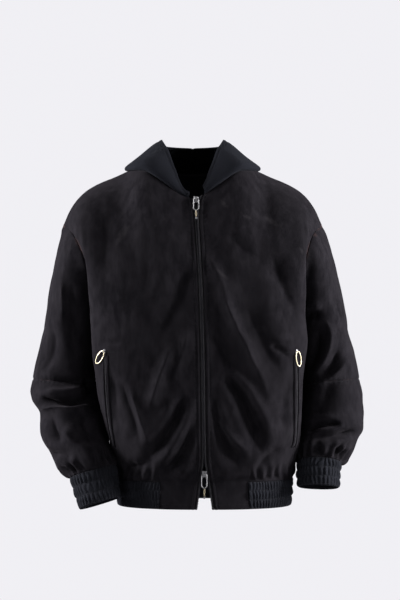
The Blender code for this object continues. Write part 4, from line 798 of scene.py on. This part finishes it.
def worn_sleeve(side):
    """The same points with rolls, creases, seams and the gathers at the cuff, and the wear."""
    grid = smooth_sleeve(side)
    outward = normals_of(grid, closed=True, flip=side)
    down = lengths(grid, 0)
    to_cuff = down[-1:] - down
    from_elbow = np.abs(down - down[ELBOW_ROW:ELBOW_ROW + 1])
    lower = eased((down - down[ELBOW_ROW:ELBOW_ROW + 1] + 0.03) / 0.06)
    tall = grid * (1.0, 1.0, 0.6)
    lift = (0.0034 * lumps(tall, 0.070, 21) + 0.0016 * lumps(tall, 0.030, 22)
            + 0.0005 * lumps(grid, 0.013, 23))
    lift += lower * 0.0028 * lumps(grid * (0.6, 0.6, 1.3), 0.034, 24)
    facing = np.abs(np.sin(2 * math.pi * SLEEVE_TURNS))
    for face, chosen in ((FRONT, SLEEVE_TURNS < 0.5), (BACK, SLEEVE_TURNS > 0.5)):
        lift -= (creased(grid, SLEEVE_CREASES[side, face])
                 * (eased(facing * 2.2) * chosen)[None, :])
    near = np.exp(-((to_cuff - 0.014) / 0.018) ** 2)
    wander = 1.6 * lumps(grid, 0.03, 25)
    lift += 0.0040 * near * np.sin(2 * math.pi * 17 * SLEEVE_TURNS[None, :] + 1.5 * wander)
    lift -= 0.0045 * near * np.clip(lumps(grid, 0.024, 28), 0.0, 1.0)
    lift *= away(down, 0.012) * away(to_cuff, 0.004)
    pucker = 0.0004 * np.sin(2 * math.pi * 44 * SLEEVE_TURNS[None, :] + 2 * lumps(grid, 0.02, 26))
    lift += pucker * np.exp(-((from_elbow - 0.004) / 0.004) ** 2)
    lift += 0.0012 * away(down, 0.0035) * away(from_elbow, 0.0028)
    worn = 1.1 * np.exp(-down / 0.007) + 0.5 * np.exp(-from_elbow / 0.004)
    worn = worn * np.clip(0.35 + 0.9 * lumps(grid, 0.022, 27), 0.0, 1.0)
    return grid + outward * lift[..., None], np.clip(worn, 0.0, 1.0)


SLEEVES, SLEEVES_OUT = {}, {}
for side in (RIGHT, LEFT):
    grid, worn = worn_sleeve(side)
    outward = normals_of(grid, closed=True, flip=side)
    SLEEVES[side], SLEEVES_OUT[side] = grid, outward
    for part, rows, flat, area in (("upper", slice(None, ELBOW_ROW + 1), (0.50, 0.40), 0.120),
                                   ("lower", slice(ELBOW_ROW, None), (0.50, 0.25), 0.096)):
        sleeve = shell(f"suede_sleeve_{part}_{NAMES[side]}", grid[rows], outward[rows],
                       [SUEDE, REVERSE], closed=True, worn=worn[rows])
        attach(sleeve, "jacket")
        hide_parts(f"sleeve_{part}_{NAMES[side]}")

# Hood
# A dark smooth jersey hood in two halves, sewn to the neckline from one end of the zip to the
# other. It lies back open over the shoulders with its edge turned in and stitched.

Hood = namedtuple("Hood", "turn seam_r seam_z rise_r rise_z low_r low_z"
                          " belly_r belly_z crest_r crest_z edge_r edge_z")
HOOD = [
    Hood(0, 0.0900, -0.0575, 0.0905, -0.0550, 0.0905, -0.0535, 0.0900, -0.0515,
         0.0890, -0.0500, 0.0880, -0.0490),
    Hood(10, 0.0925, -0.0535, 0.0935, -0.0505, 0.0935, -0.0485, 0.0920, -0.0455,
         0.0900, -0.0425, 0.0870, -0.0410),
    Hood(30, 0.1020, -0.0310, 0.1060, -0.0260, 0.1060, -0.0200, 0.1000, -0.0090,
         0.0860, 0.0020, 0.0725, 0.0040),
    Hood(55, 0.1220, -0.0010, 0.1280, 0.0040, 0.1270, 0.0110, 0.1150, 0.0250,
         0.0840, 0.0440, 0.0640, 0.0475),
    Hood(90, 0.1335, 0.0015, 0.1400, 0.0050, 0.1370, 0.0120, 0.1120, 0.0250,
         0.0790, 0.0570, 0.0620, 0.0650),
    Hood(115, 0.1280, 0.0060, 0.1400, 0.0110, 0.1470, -0.0100, 0.1400, 0.0010,
         0.0970, 0.0500, 0.0730, 0.0650),
    Hood(140, 0.1120, 0.0050, 0.1300, 0.0150, 0.1650, -0.0700, 0.1980, -0.0500,
         0.1430, 0.0360, 0.1010, 0.0590),
    Hood(160, 0.1030, 0.0010, 0.1240, 0.0140, 0.1780, -0.1400, 0.2300, -0.1100,
         0.1830, 0.0480, 0.1210, 0.0570),
    Hood(180, 0.1000, -0.0010, 0.1220, 0.0130, 0.1820, -0.1650, 0.2380, -0.1300,
         0.1940, 0.0460, 0.1280, 0.0560),
]

HOOD_RISES = np.concatenate([[0.0, 0.008, 0.018, 0.030], np.linspace(0.044, 0.955, 68),
                             [0.966, 0.976, 0.984, 0.990, 0.995, 1.0]])
JERSEY = knit_finish("dark_jersey", (0.0016, 0.0017, 0.0022), (0.0023, 0.0024, 0.0031), 240.0,
                     0.0004, 0.010)


def spline(points, shares):
    """Points on a clamped smooth curve drawn by a few leading points."""
    inner = np.linspace(0.0, 1.0, len(points) - 2)
    knots = np.concatenate([[0.0] * 3, inner, [1.0] * 3])
    made = []
    for share in np.clip(shares, 0.0, 1.0 - 1e-9):
        k = int(np.searchsorted(knots, share, side="right")) - 1
        work = [np.array(points[j + k - 3], float) for j in range(4)]
        for level in range(1, 4):
            for j in range(3, level - 1, -1):
                low, high = knots[j + k - 3], knots[j + 1 + k - level]
                part = (share - low) / (high - low)
                work[j] = work[j - 1] * (1 - part) + work[j] * part
        made.append(work[3])
    return np.array(made)


def square_at_back(outward):
    """Directions out of a hood half, square to the seam at the middle of the back."""
    outward[:, -1, 0] = 0.0
    return unit(outward)


def open_hood(side):
    """Outer points of half a hood: rows rise from the neck seam, columns run zip to back."""
    part = NECK_COLUMNS / NECK_SHARE
    start = neck_start(side)
    turns = np.concatenate([start + (90.0 - start) * part, (180.0 - 90.0 * part)[::-1][1:]])
    columns = []
    for turn in turns:
        angle = math.radians(turn)
        leading = []
        for name in ("seam", "rise", "low", "belly", "crest", "edge"):
            r, z = between(HOOD, name + "_r", turn), between(HOOD, name + "_z", turn)
            leading.append((NECK_X + side * r * math.sin(angle), -r * math.cos(angle), z))
        dense = spline(leading, np.linspace(0.0, 1.0, 90))
        columns.append(along(dense, HOOD_RISES))
    grid = np.stack(columns, axis=1)
    outward = square_at_back(normals_of(grid, flip=side))
    up, round_neck = lengths(grid, 0), lengths(grid, 1)
    to_edge, to_back = up[-1:] - up, round_neck[:, -1:] - round_neck
    lift = 0.0022 * lumps(grid, 0.060, 31) + 0.0009 * lumps(grid, 0.026, 32)
    lift *= away(up, 0.014) * away(to_edge, 0.010)
    hem = 0.0007 * np.exp(-((to_edge - 0.0030) / 0.0030) ** 4)
    hem -= 0.0006 * np.exp(-((to_edge - 0.0085) / 0.0016) ** 2)
    pucker = 0.0004 * np.sin(2 * math.pi * round_neck / 0.008 + 2 * lumps(grid, 0.02, 33))
    lift += hem + pucker * np.exp(-((up - 0.006) / 0.005) ** 2)
    lift += 0.0016 * away(up, 0.0035) * (0.4 + 0.6 * away(to_back, 0.0035))
    return grid + outward * lift[..., None]


HOODS, HOODS_OUT = {}, {}
for side in (RIGHT, LEFT):
    grid = open_hood(side)
    outward = square_at_back(normals_of(grid, flip=side))
    HOODS[side], HOODS_OUT[side] = grid, outward
    hood = shell(f"jersey_hood_{NAMES[side]}", grid, outward, [JERSEY, JERSEY])
    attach(hood, "jacket")
    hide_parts(f"hood_{NAMES[side]}")

# Elastic hem band and cuffs
# Doubled cloth with three channels of elastic, closed between rows of stitching. The elastic
# draws it up into short upright gathers that puff out between the rows.

HEM_GATHERS = 58          # on each half of the band
CUFF_GATHERS = 34
CHANNELS = 3
ELASTIC = 0.0030
PUFF, TUCK = 0.0037, 0.0006
CUFF_END = {
    RIGHT: Ring(3.0, 0.1970, -0.098, -0.670, 0.0410, 0.037, 17, 9),
    LEFT: Ring(3.0, 0.2430, -0.066, -0.640, 0.0400, 0.037, 2, 12),
}
GATHERED = knit_finish("gathered_band", (0.0019, 0.0020, 0.0025), (0.0030, 0.0031, 0.0039), 250.0,
                       0.0003, 0.008)


def gathered(name, top, bottom, gathers, closed, seed):
    """Gathered strip from a line of points at its top to one at its bottom."""
    count = len(top)
    rises = np.concatenate([np.linspace(0, 1, 11)[:-1] / CHANNELS + k / CHANNELS
                            for k in range(CHANNELS)] + [[1.0]])
    run = np.gradient(top, axis=0)
    if closed:
        run = (np.roll(top, -1, axis=0) - np.roll(top, 1, axis=0)) / 2
    out = unit(np.cross(run, unit((bottom - top).mean(axis=0))))
    centre = top.mean(axis=0) if closed else np.array([0.0, 0.0, top[0, 2]])
    if np.sum(out * (top - centre)) < 0.0:
        out = -out
    flat = top[None] * (1 - rises[:, None, None]) + bottom[None] * rises[:, None, None]
    turn = np.arange(count) / count
    rows = []
    for r, rise in enumerate(rises):
        channel = min(int(rise * CHANNELS), CHANNELS - 1)
        inside = rise * CHANNELS - channel
        belly = math.sin(math.pi * inside) ** 0.62 if 0.0 < inside < 1.0 else 0.0
        jitter = (3.4 * lumps(flat[r], 0.030, seed + channel)
                  + 1.7 * lumps(flat[r], 0.011, seed + 5 + channel))
        wave = 0.5 + 0.5 * np.sin(2 * math.pi * gathers * turn + jitter)
        wave = wave ** 0.7
        size = 0.80 + 0.50 * lumps(flat[r], 0.016, seed + 9 + channel)
        lift = PUFF * belly * (0.30 + 0.70 * wave) * size + TUCK * (1 - belly) * wave
        if 0.0 < rise < 1.0:
            lift = lift + 0.0004
        rows.append(flat[r] + out * lift[:, None])
    outer = np.stack(rows)
    outward = normals_of(outer, closed=closed)
    if np.sum(outward * out[None]) < 0.0:
        outward = -outward
    straight = np.broadcast_to(out[None], outer.shape)
    inner = flat - straight * ELASTIC
    towards = outer - inner
    piece = shell(name, outer, towards, [GATHERED, GATHERED], thick=1.0, closed=closed)
    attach(piece, "jacket")
    return piece, outer, outward


BANDS, CUFFS = {}, {}
for side in (RIGHT, LEFT):
    turns = np.arange(9 * CUFF_GATHERS) / (9 * CUFF_GATHERS)
    end = CUFF_END[side]
    bottom = ring_points(side, (side * end.x, end.y, end.z), end.wide, end.deep, end.lean,
                         end.pitch, turns)
    cuff, *CUFFS[side] = gathered(f"gathered_cuff_{NAMES[side]}", ring_at(side, 2.0, turns),
                                  bottom, CUFF_GATHERS, True, 50 + side)
    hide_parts(f"cuff_{NAMES[side]}")
    lines = []
    for z in (BAND_TOP_Z, HEM_Z):
        front = ring_line(side, FRONT, z)
        start = between(COLUMNS[FRONT], "ring", TAB_SHARE)
        front = along(front, np.linspace(start, 1.0, 120))
        whole = np.concatenate([front, ring_line(side, BACK, z)[::-1][1:]])
        lines.append(along(whole, np.linspace(0.0, 1.0, 9 * HEM_GATHERS + 1)))
    band, *BANDS[side] = gathered(f"gathered_band_{NAMES[side]}", lines[0], lines[1],
                                  HEM_GATHERS, False, 70 + side)
    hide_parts(f"hem_band_{NAMES[side]}")

# Front zip tapes and teeth
# Two woven tapes sewn behind the folded front edges. Each dips under its front's edge and
# rises to a covered row of teeth in the middle; the two spread apart above and below the sliders.

TapeColumn = namedtuple("TapeColumn", "reach lift")
TAPE_COLUMNS = [
    TapeColumn(-0.0030, -0.0030),
    TapeColumn(0.0000, -0.0030),
    TapeColumn(0.0015, -0.0029),
    TapeColumn(0.0022, -0.0022),
    TapeColumn(0.0027, -0.0008),
    TapeColumn(0.0033, 0.0002),
    TapeColumn(0.0042, 0.0006),
    TapeColumn(0.0051, 0.0005),
    TapeColumn(0.0057, 0.0000),
    TapeColumn(0.0060, -0.0008),
]
TAPE = 0.0009
TOOTH_PITCH = 0.0032
TOOTH = (0.0014, 0.0011, 0.0015)


def tape_finish():
    """Woven nylon tape with a fine herringbone."""
    made, tree, shader = new_finish("zip_tape_weave", 0.48)
    shader.inputs["Specular IOR Level"].default_value = 0.0
    flat = tree.nodes.new("ShaderNodeUVMap").outputs[0]
    where = tree.nodes.new("ShaderNodeTexCoord").outputs["Object"]
    weave = linked(tree, "ShaderNodeTexWave", [("Vector", flat)], bands_direction="DIAGONAL",
                   Scale=330.0, Distortion=0.4).outputs["Fac"]
    dust = noise(tree, where, 120.0, 4.0, 0.6)
    tree.links.new(blended(tree, ranged(tree, dust, 0.35, 0.75), (0.0046, 0.0044, 0.0050),
                           (0.0088, 0.0085, 0.0094)), shader.inputs["Base Color"])
    tree.links.new(ranged(tree, dust, 0.3, 0.7, 0.36, 0.55), shader.inputs["Roughness"])
    tree.links.new(raised(tree, weave, 0.0003, 0.5), shader.inputs["Normal"])
    return made


def moulded_finish(name, colour, rough):
    """Dark moulded nylon, a little rubbed."""
    made, tree, shader = new_finish(name, rough)
    shader.inputs["Specular IOR Level"].default_value = 0.0
    where = tree.nodes.new("ShaderNodeTexCoord").outputs["Object"]
    pale_mark = noise(tree, where, 420.0, 3.0, 0.6)
    tree.links.new(blended(tree, ranged(tree, pale_mark, 0.45, 0.8), colour,
                           tuple(2.2 * c for c in colour)), shader.inputs["Base Color"])
    tree.links.new(ranged(tree, pale_mark, 0.3, 0.8, rough - 0.08, rough + 0.15),
                   shader.inputs["Roughness"])
    return made


def many(name, places, frames, outline, surface):
    """One mesh of many small alike pieces: outline is (points, faces) of one of them."""
    points, faces = outline
    count = len(places)
    cloud = np.einsum("nij,kj->nki", frames, points) + places[:, None]
    index = np.arange(count)[:, None, None] * len(points) + np.asarray(faces)[None]
    mesh = bpy.data.meshes.new(name)
    mesh.from_pydata(cloud.reshape(-1, 3).tolist(), [],
                     index.reshape(-1, len(faces[0])).tolist())
    mesh.materials.append(surface)
    mesh.shade_smooth()
    piece = bpy.data.objects.new(name, mesh)
    bpy.context.scene.collection.objects.link(piece)
    return piece


WEAVE = tape_finish()
NYLON = moulded_finish("zip_teeth_nylon", (0.005, 0.005, 0.006), 0.40)
for side in (RIGHT, LEFT):
    edge = BODY[side, FRONT][2:, 0]
    outer = np.stack([edge - np.array([side * column.reach, column.lift, 0.0])
                      for column in TAPE_COLUMNS], axis=1)
    outward = normals_of(outer, flip=-side)
    if outward[..., 1].mean() > 0.0:
        outward = -outward
    tape = shell(f"woven_tape_{NAMES[side]}", outer, outward, [WEAVE, WEAVE], thick=TAPE)
    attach(tape, "jacket")
    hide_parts(f"zip_tape_{NAMES[side]}")
    walked = lengths(edge[None], 1)[0]
    along_zip = np.arange(0.001 + (TOOTH_PITCH / 2 if side == LEFT else 0.0), walked[-1] - 0.001,
                          TOOTH_PITCH)
    places = np.stack([np.interp(along_zip, walked, edge[:, k]) for k in range(3)], axis=1)
    places -= np.array([side * 0.0062, 0.0002, 0.0])
    w, d, t = (s / 2 for s in TOOTH)
    block = np.array([(x * w, y * d, z * t) for x in (-1, 1) for y in (-1, 1) for z in (-0.6, 0.6)])
    sides = [(0, 1, 3, 2), (4, 6, 7, 5), (0, 4, 5, 1), (2, 3, 7, 6), (0, 2, 6, 4), (1, 5, 7, 3)]
    frames = np.broadcast_to(np.eye(3), (len(places), 3, 3))
    teeth = many(f"zip_teeth_{NAMES[side]}", places, frames, (block, sides), NYLON)
    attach(teeth, "jacket")

# Pockets
# A closed zip runs down each front near the side, between two folded suede lips. The outer
# lip is broader and stands a little proud; a short stitched bar closes the top.

Line = namedtuple("Line", "z right left")
POCKET_LINE = [
    Line(-0.372, -0.1845, 0.1955),
    Line(-0.420, -0.1830, 0.1962),
    Line(-0.463, -0.1812, 0.1968),
    Line(-0.510, -0.1765, 0.1960),
    Line(-0.543, -0.1708, 0.1945),
    Line(-0.558, -0.1685, 0.1905),
]
POCKET_TOP, POCKET_END = -0.372, -0.558
Lip = namedtuple("Lip", "walk lift")
OUTER_LIP = [Lip(0.0024, 0.0004), Lip(0.0027, 0.0022), Lip(0.0036, 0.0032), Lip(0.0052, 0.0031),
             Lip(0.0072, 0.0025), Lip(0.0080, 0.0020), Lip(0.0088, 0.0022), Lip(0.0110, 0.0018),
             Lip(0.0122, 0.0010)]
INNER_LIP = [Lip(-0.0024, 0.0004), Lip(-0.0027, 0.0018), Lip(-0.0036, 0.0026),
             Lip(-0.0052, 0.0023), Lip(-0.0066, 0.0016), Lip(-0.0074, 0.0010)]
POCKET_ZIP = [Lip(-0.0026, 0.0009), Lip(-0.0014, 0.0010), Lip(-0.0009, 0.0019),
              Lip(0.0000, 0.0015), Lip(0.0009, 0.0019), Lip(0.0014, 0.0010), Lip(0.0026, 0.0009)]


def spot(side, x, z, walk=0.0):
    """Place and outward direction on a front: x is met at a height, then a walk round the body."""
    row = UNDERARM_ROW + np.interp(-z, -LOWER_HEIGHTS, np.arange(len(LOWER_HEIGHTS)))
    low = int(row)
    made = []
    for grid in (BODY[side, FRONT], BODY_OUT[side, FRONT]):
        made.append(grid[low] * (low + 1 - row) + grid[low + 1] * (row - low))
    line, outward = made
    walked = lengths(line[None], 1)[0]
    widest = int(np.argmax(side * line[:, 0]))
    at = np.interp(side * x, side * line[:widest + 1, 0], walked[:widest + 1]) + walk
    place = np.array([np.interp(at, walked, line[:, k]) for k in range(3)])
    return place, unit(np.array([np.interp(at, walked, outward[:, k]) for k in range(3)]))


def lying(name, side, lips, surface, thick, top, end):
    """Strip that lies on a front beside the pocket line, from the front's points moved out."""
    heights = np.linspace(top, end, 72)
    rows, outward = [], []
    for z in heights:
        x = between(POCKET_LINE, NAMES[side], z)
        fade = eased(min(z - end, top - z) / 0.004 + 0.25) * (0.35 + 0.65 * eased((top - z) / 0.034))
        row = [spot(side, x, z, lip.walk) for lip in lips]
        rows.append([place + normal * (0.0006 + lip.lift * fade)
                     for (place, normal), lip in zip(row, lips)])
        outward.append([normal for place, normal in row])
    grid, outward = np.array(rows), np.array(outward)
    grid = grid + outward * (0.00025 * lumps(grid, 0.006, 41))[..., None]
    piece = shell(name, grid, outward, [surface, surface], thick=thick)
    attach(piece, "jacket")
    return piece, grid, outward


LIPS = {}
for side in (RIGHT, LEFT):
    closure, *_ = lying(f"pocket_closure_{NAMES[side]}", side, POCKET_ZIP, WEAVE, 0.0009,
                        POCKET_TOP - 0.001, POCKET_END + 0.001)
    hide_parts(f"pocket_zip_{NAMES[side]}")
    lip, *LIPS[side] = lying(f"pocket_lip_{NAMES[side]}", side, OUTER_LIP, SUEDE, 0.0010,
                             POCKET_TOP, POCKET_END)
    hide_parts(f"pocket_welt_{NAMES[side]}")
    facing, *_ = lying(f"pocket_inner_lip_{NAMES[side]}", side, INNER_LIP, SUEDE, 0.0008,
                       POCKET_TOP, POCKET_END)

# Topstitching
# Black polyester thread, about eight stitches to 25 mm: beside the front edges, round the tab,
# at the elbow seams, round the hood's edge, beside the pockets and along the elastic channels.

STITCH, STITCH_GAP, THREAD = 0.0026, 0.0007, 0.00036
STITCH_RINGS = [(-0.5, 0.25), (-0.30, 1.0), (0.30, 1.0), (0.5, 0.25)]
THREAD_BLACK = moulded_finish("black_thread", (0.0050, 0.0050, 0.0056), 0.5)


def stitched(name, seams):
    """Rows of stitches along seams, each a line of places and the directions out of the cloth."""
    places, frames = [], []
    for line, outward in seams:
        walked = lengths(line[None], 1)[0]
        marks = np.arange(STITCH / 2, walked[-1] - STITCH / 2, STITCH + STITCH_GAP)
        at, ahead, out = (np.stack([np.interp(marks + step, walked, source[:, k])
                                    for k in range(3)], axis=1)
                          for step, source in ((0.0, line), (0.0008, line), (0.0, outward)))
        run = unit(ahead - at)
        out = unit(out - run * np.sum(out * run, axis=1, keepdims=True))
        places.append(at + out * 0.00012)
        frames.append(np.stack([run * STITCH, np.cross(out, run) * THREAD, out * THREAD], axis=2))
    angle = 2 * math.pi * np.arange(5) / 5
    points = np.array([(x, r * math.cos(a), r * math.sin(a))
                       for x, r in STITCH_RINGS for a in angle])
    faces = [(5 * k + j, 5 * k + (j + 1) % 5, 5 * k + 5 + (j + 1) % 5, 5 * k + 5 + j)
             for k in range(len(STITCH_RINGS) - 1) for j in range(5)]
    piece = many(name, np.concatenate(places), np.concatenate(frames), (points, faces),
                 THREAD_BLACK)
    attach(piece, "jacket")
    return piece


def beside(grid, outward, distance, columns=slice(None)):
    """Line that keeps a distance from a grid's first column, and the way out of the cloth."""
    across = lengths(grid, 1)
    line, out = [], []
    for r in range(*columns.indices(len(grid))):
        line.append([np.interp(distance, across[r], grid[r, :, k]) for k in range(3)])
        out.append([np.interp(distance, across[r], outward[r, :, k]) for k in range(3)])
    return np.array(line), np.array(out)


seams = []
for side in (RIGHT, LEFT):
    grid, outward = BODY[side, FRONT], BODY_OUT[side, FRONT]
    seams.append(beside(grid, outward, 0.0066, slice(3, -3)))
    seams.append((grid[-5, 3:TAB_COLUMN - 1], outward[-5, 3:TAB_COLUMN - 1]))
    sleeve, out = SLEEVES[side], SLEEVES_OUT[side]
    seams.append((sleeve[ELBOW_ROW + 2], out[ELBOW_ROW + 2]))
    lip, out = LIPS[side]
    seams.append((lip[2:-2, 5], out[2:-2, 5]))
    inner = [spot(side, between(POCKET_LINE, NAMES[side], z), z, -0.0098)
             for z in np.linspace(POCKET_TOP + 0.006, POCKET_END - 0.004, 60)]
    seams.append((np.array([place for place, out in inner]), np.array([out for place, out in inner])))
    bar = [spot(side, between(POCKET_LINE, NAMES[side], POCKET_TOP), POCKET_TOP + 0.006, walk)
           for walk in np.linspace(-0.034, 0.012, 20)]
    seams.append((np.array([place for place, out in bar]), np.array([out for place, out in bar])))
body_thread = stitched("suede_stitching", seams)

seams = []
for side in (RIGHT, LEFT):
    hood, out = HOODS[side], HOODS_OUT[side]
    flipped, out = hood[::-1].transpose(1, 0, 2), out[::-1].transpose(1, 0, 2)
    seams.append(beside(flipped, out, 0.0085))
    for grid, outward in (BANDS[side], CUFFS[side]):
        for row in (1, 10, 20, 29):
            seams.append((grid[row], outward[row]))
knit_thread = stitched("jersey_stitching", seams)

# Metal parts
# Polished steel sliders with wire loops, each with a narrow pale-gold bar and a dark end, and
# pale-gold oval rings on the pocket sliders. They hang free from the sliders' bridges.


def metal_finish(name, colour, rough, brushed):
    """Plated metal with fine polishing marks and dull touches."""
    made, tree, shader = new_finish(name, rough, metallic=1.0)
    where = tree.nodes.new("ShaderNodeTexCoord").outputs["Object"]
    marks = noise(tree, where, 900.0, 2.0, 0.5, stretch=(1.0, 1.0, brushed))
    dull = noise(tree, where, 160.0, 4.0, 0.6)
    tree.links.new(blended(tree, ranged(tree, dull, 0.45, 0.8), colour,
                           tuple(0.72 * c for c in colour)), shader.inputs["Base Color"])
    tree.links.new(ranged(tree, marks, 0.3, 0.7, rough - 0.06, rough + 0.10),
                   shader.inputs["Roughness"])
    tree.links.new(raised(tree, marks, 0.0001, 0.25), shader.inputs["Normal"])
    return made


STEEL = metal_finish("polished_steel", (0.075, 0.074, 0.077), 0.42, 0.2)
DARK_STEEL = metal_finish("dark_steel", (0.030, 0.030, 0.032), 0.45, 0.5)
PALE_GOLD = metal_finish("pale_gold", (0.27, 0.238, 0.172), 0.52, 0.3)
DULL_GOLD = metal_finish("dull_gold", (0.060, 0.052, 0.037), 0.45, 0.3)
METAL = {"zip_slider_top": STEEL, "zip_slider_bottom": STEEL, "pocket_slider_left": STEEL,
         "pocket_slider_right": STEEL, "pull_loop_top": STEEL, "pull_loop_bottom": STEEL,
         "pull_bar_top": DULL_GOLD, "pull_bar_bottom": DULL_GOLD, "pull_end_top": DARK_STEEL,
         "pull_end_bottom": DARK_STEEL}
for name, surface in METAL.items():
    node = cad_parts[name]
    for k in range(len(node.material_slots)):
        node.material_slots[k].material = surface

RING_LONG, RING_WIDE, RING_WIRE = 0.0155, 0.0066, 0.00105
for side in (RIGHT, LEFT):
    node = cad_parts[f"pocket_ring_{NAMES[side]}"]
    cloud = np.array([v.co for v in node.data.vertices])
    centre = (cloud.max(axis=0) + cloud.min(axis=0)) / 2
    spread, axes = np.linalg.eigh(np.cov((cloud - cloud.mean(axis=0)).T))
    wide, tall = axes[:, 1], axes[:, 2]
    turns = 2 * math.pi * np.arange(56) / 56
    around = 2 * math.pi * np.arange(14) / 14
    oval = centre + np.outer(np.sin(turns) * RING_WIDE, wide) + np.outer(np.cos(turns) * RING_LONG, tall)
    away_from = unit(np.outer(np.sin(turns) / RING_WIDE, wide) + np.outer(np.cos(turns) / RING_LONG, tall))
    up = np.cross(wide, tall)
    tube = (oval[:, None] + RING_WIRE * (np.cos(around)[None, :, None] * away_from[:, None]
                                         + np.sin(around)[None, :, None] * up))
    mesh = bpy.data.meshes.new(f"oval_ring_{NAMES[side]}")
    faces = [(14 * k + j, 14 * k + (j + 1) % 14, (14 * k + 14) % 784 + (j + 1) % 14,
              (14 * k + 14) % 784 + j) for k in range(56) for j in range(14)]
    mesh.from_pydata(tube.reshape(-1, 3).tolist(), [], faces)
    mesh.materials.append(PALE_GOLD)
    mesh.shade_smooth()
    ring = bpy.data.objects.new(mesh.name, mesh)
    bpy.context.scene.collection.objects.link(ring)
    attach(ring, f"ring_{NAMES[side]}")
    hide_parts(f"pocket_ring_{NAMES[side]}")

# Studio: pale floor well below the hem, soft light from all round, and the camera

def studio_finish():
    made, tree, shader = new_finish("studio_floor", 0.8)
    where = tree.nodes.new("ShaderNodeTexCoord").outputs["Object"]
    tree.links.new(blended(tree, noise(tree, where, 3.0, 3.0, 0.5), (0.158, 0.157, 0.166),
                           (0.168, 0.167, 0.176)), shader.inputs["Base Color"])
    return made


floor_mesh = bpy.data.meshes.new("studio_floor")
rim = [(3.0 * math.cos(2 * math.pi * k / 96), 3.0 * math.sin(2 * math.pi * k / 96), -1.45)
       for k in range(96)]
floor_mesh.from_pydata(rim, [], [tuple(range(96))])
floor_mesh.materials.append(studio_finish())
floor = bpy.data.objects.new("studio_floor", floor_mesh)
bpy.context.scene.collection.objects.link(floor)

world = bpy.data.worlds.new("studio")
bpy.context.scene.world = world
world.use_nodes = True
tree = world.node_tree
wall = tree.nodes["Background"]
wall.inputs["Color"].default_value = (0.875, 0.868, 0.905, 1.0)
way = tree.nodes.new("ShaderNodeTexCoord").outputs["Generated"]
height = linked(tree, "ShaderNodeSeparateXYZ", [(0, way)]).outputs["Z"]
slope = linked(tree, "ShaderNodeMath", [(0, height)], operation="ABSOLUTE").outputs[0]
tree.links.new(ranged(tree, slope, 0.17, 0.34, 1.0, 0.22), wall.inputs["Strength"])

Softbox = namedtuple("Softbox", "name x y z size watts")
SOFTBOXES = [
    Softbox("left_softbox", -3.0, 0.00, 0.6, 1.3, 1150.0),
    Softbox("right_softbox", 3.0, -0.35, 0.4, 1.3, 1150.0),
    Softbox("top_softbox", 0.2, -1.4, 2.4, 1.3, 25.0),
    Softbox("left_fill", -2.2, -3.2, 0.1, 1.8, 75.0),
    Softbox("right_fill", 2.2, -3.1, -0.1, 1.8, 105.0),
]
for box in SOFTBOXES:
    data = bpy.data.lights.new(box.name, "AREA")
    data.size = box.size
    data.energy = box.watts
    light = bpy.data.objects.new(box.name, data)
    light.location = (box.x, box.y, box.z)
    light.rotation_euler = (Vector((0.0, 0.0, -0.3)) - light.location).to_track_quat("-Z", "Y").to_euler()
    bpy.context.scene.collection.objects.link(light)

camera_data = bpy.data.cameras.new("camera")
camera_data.lens = 134.6
camera_data.sensor_width = 36.0
camera = bpy.data.objects.new("camera", camera_data)
camera.location = (0.0041, -4.6, -0.262)
camera.rotation_euler = (math.pi / 2, 0.0, 0.0)
bpy.context.scene.collection.objects.link(camera)
bpy.context.scene.camera = camera
bpy.context.scene.view_settings.view_transform = "Standard"
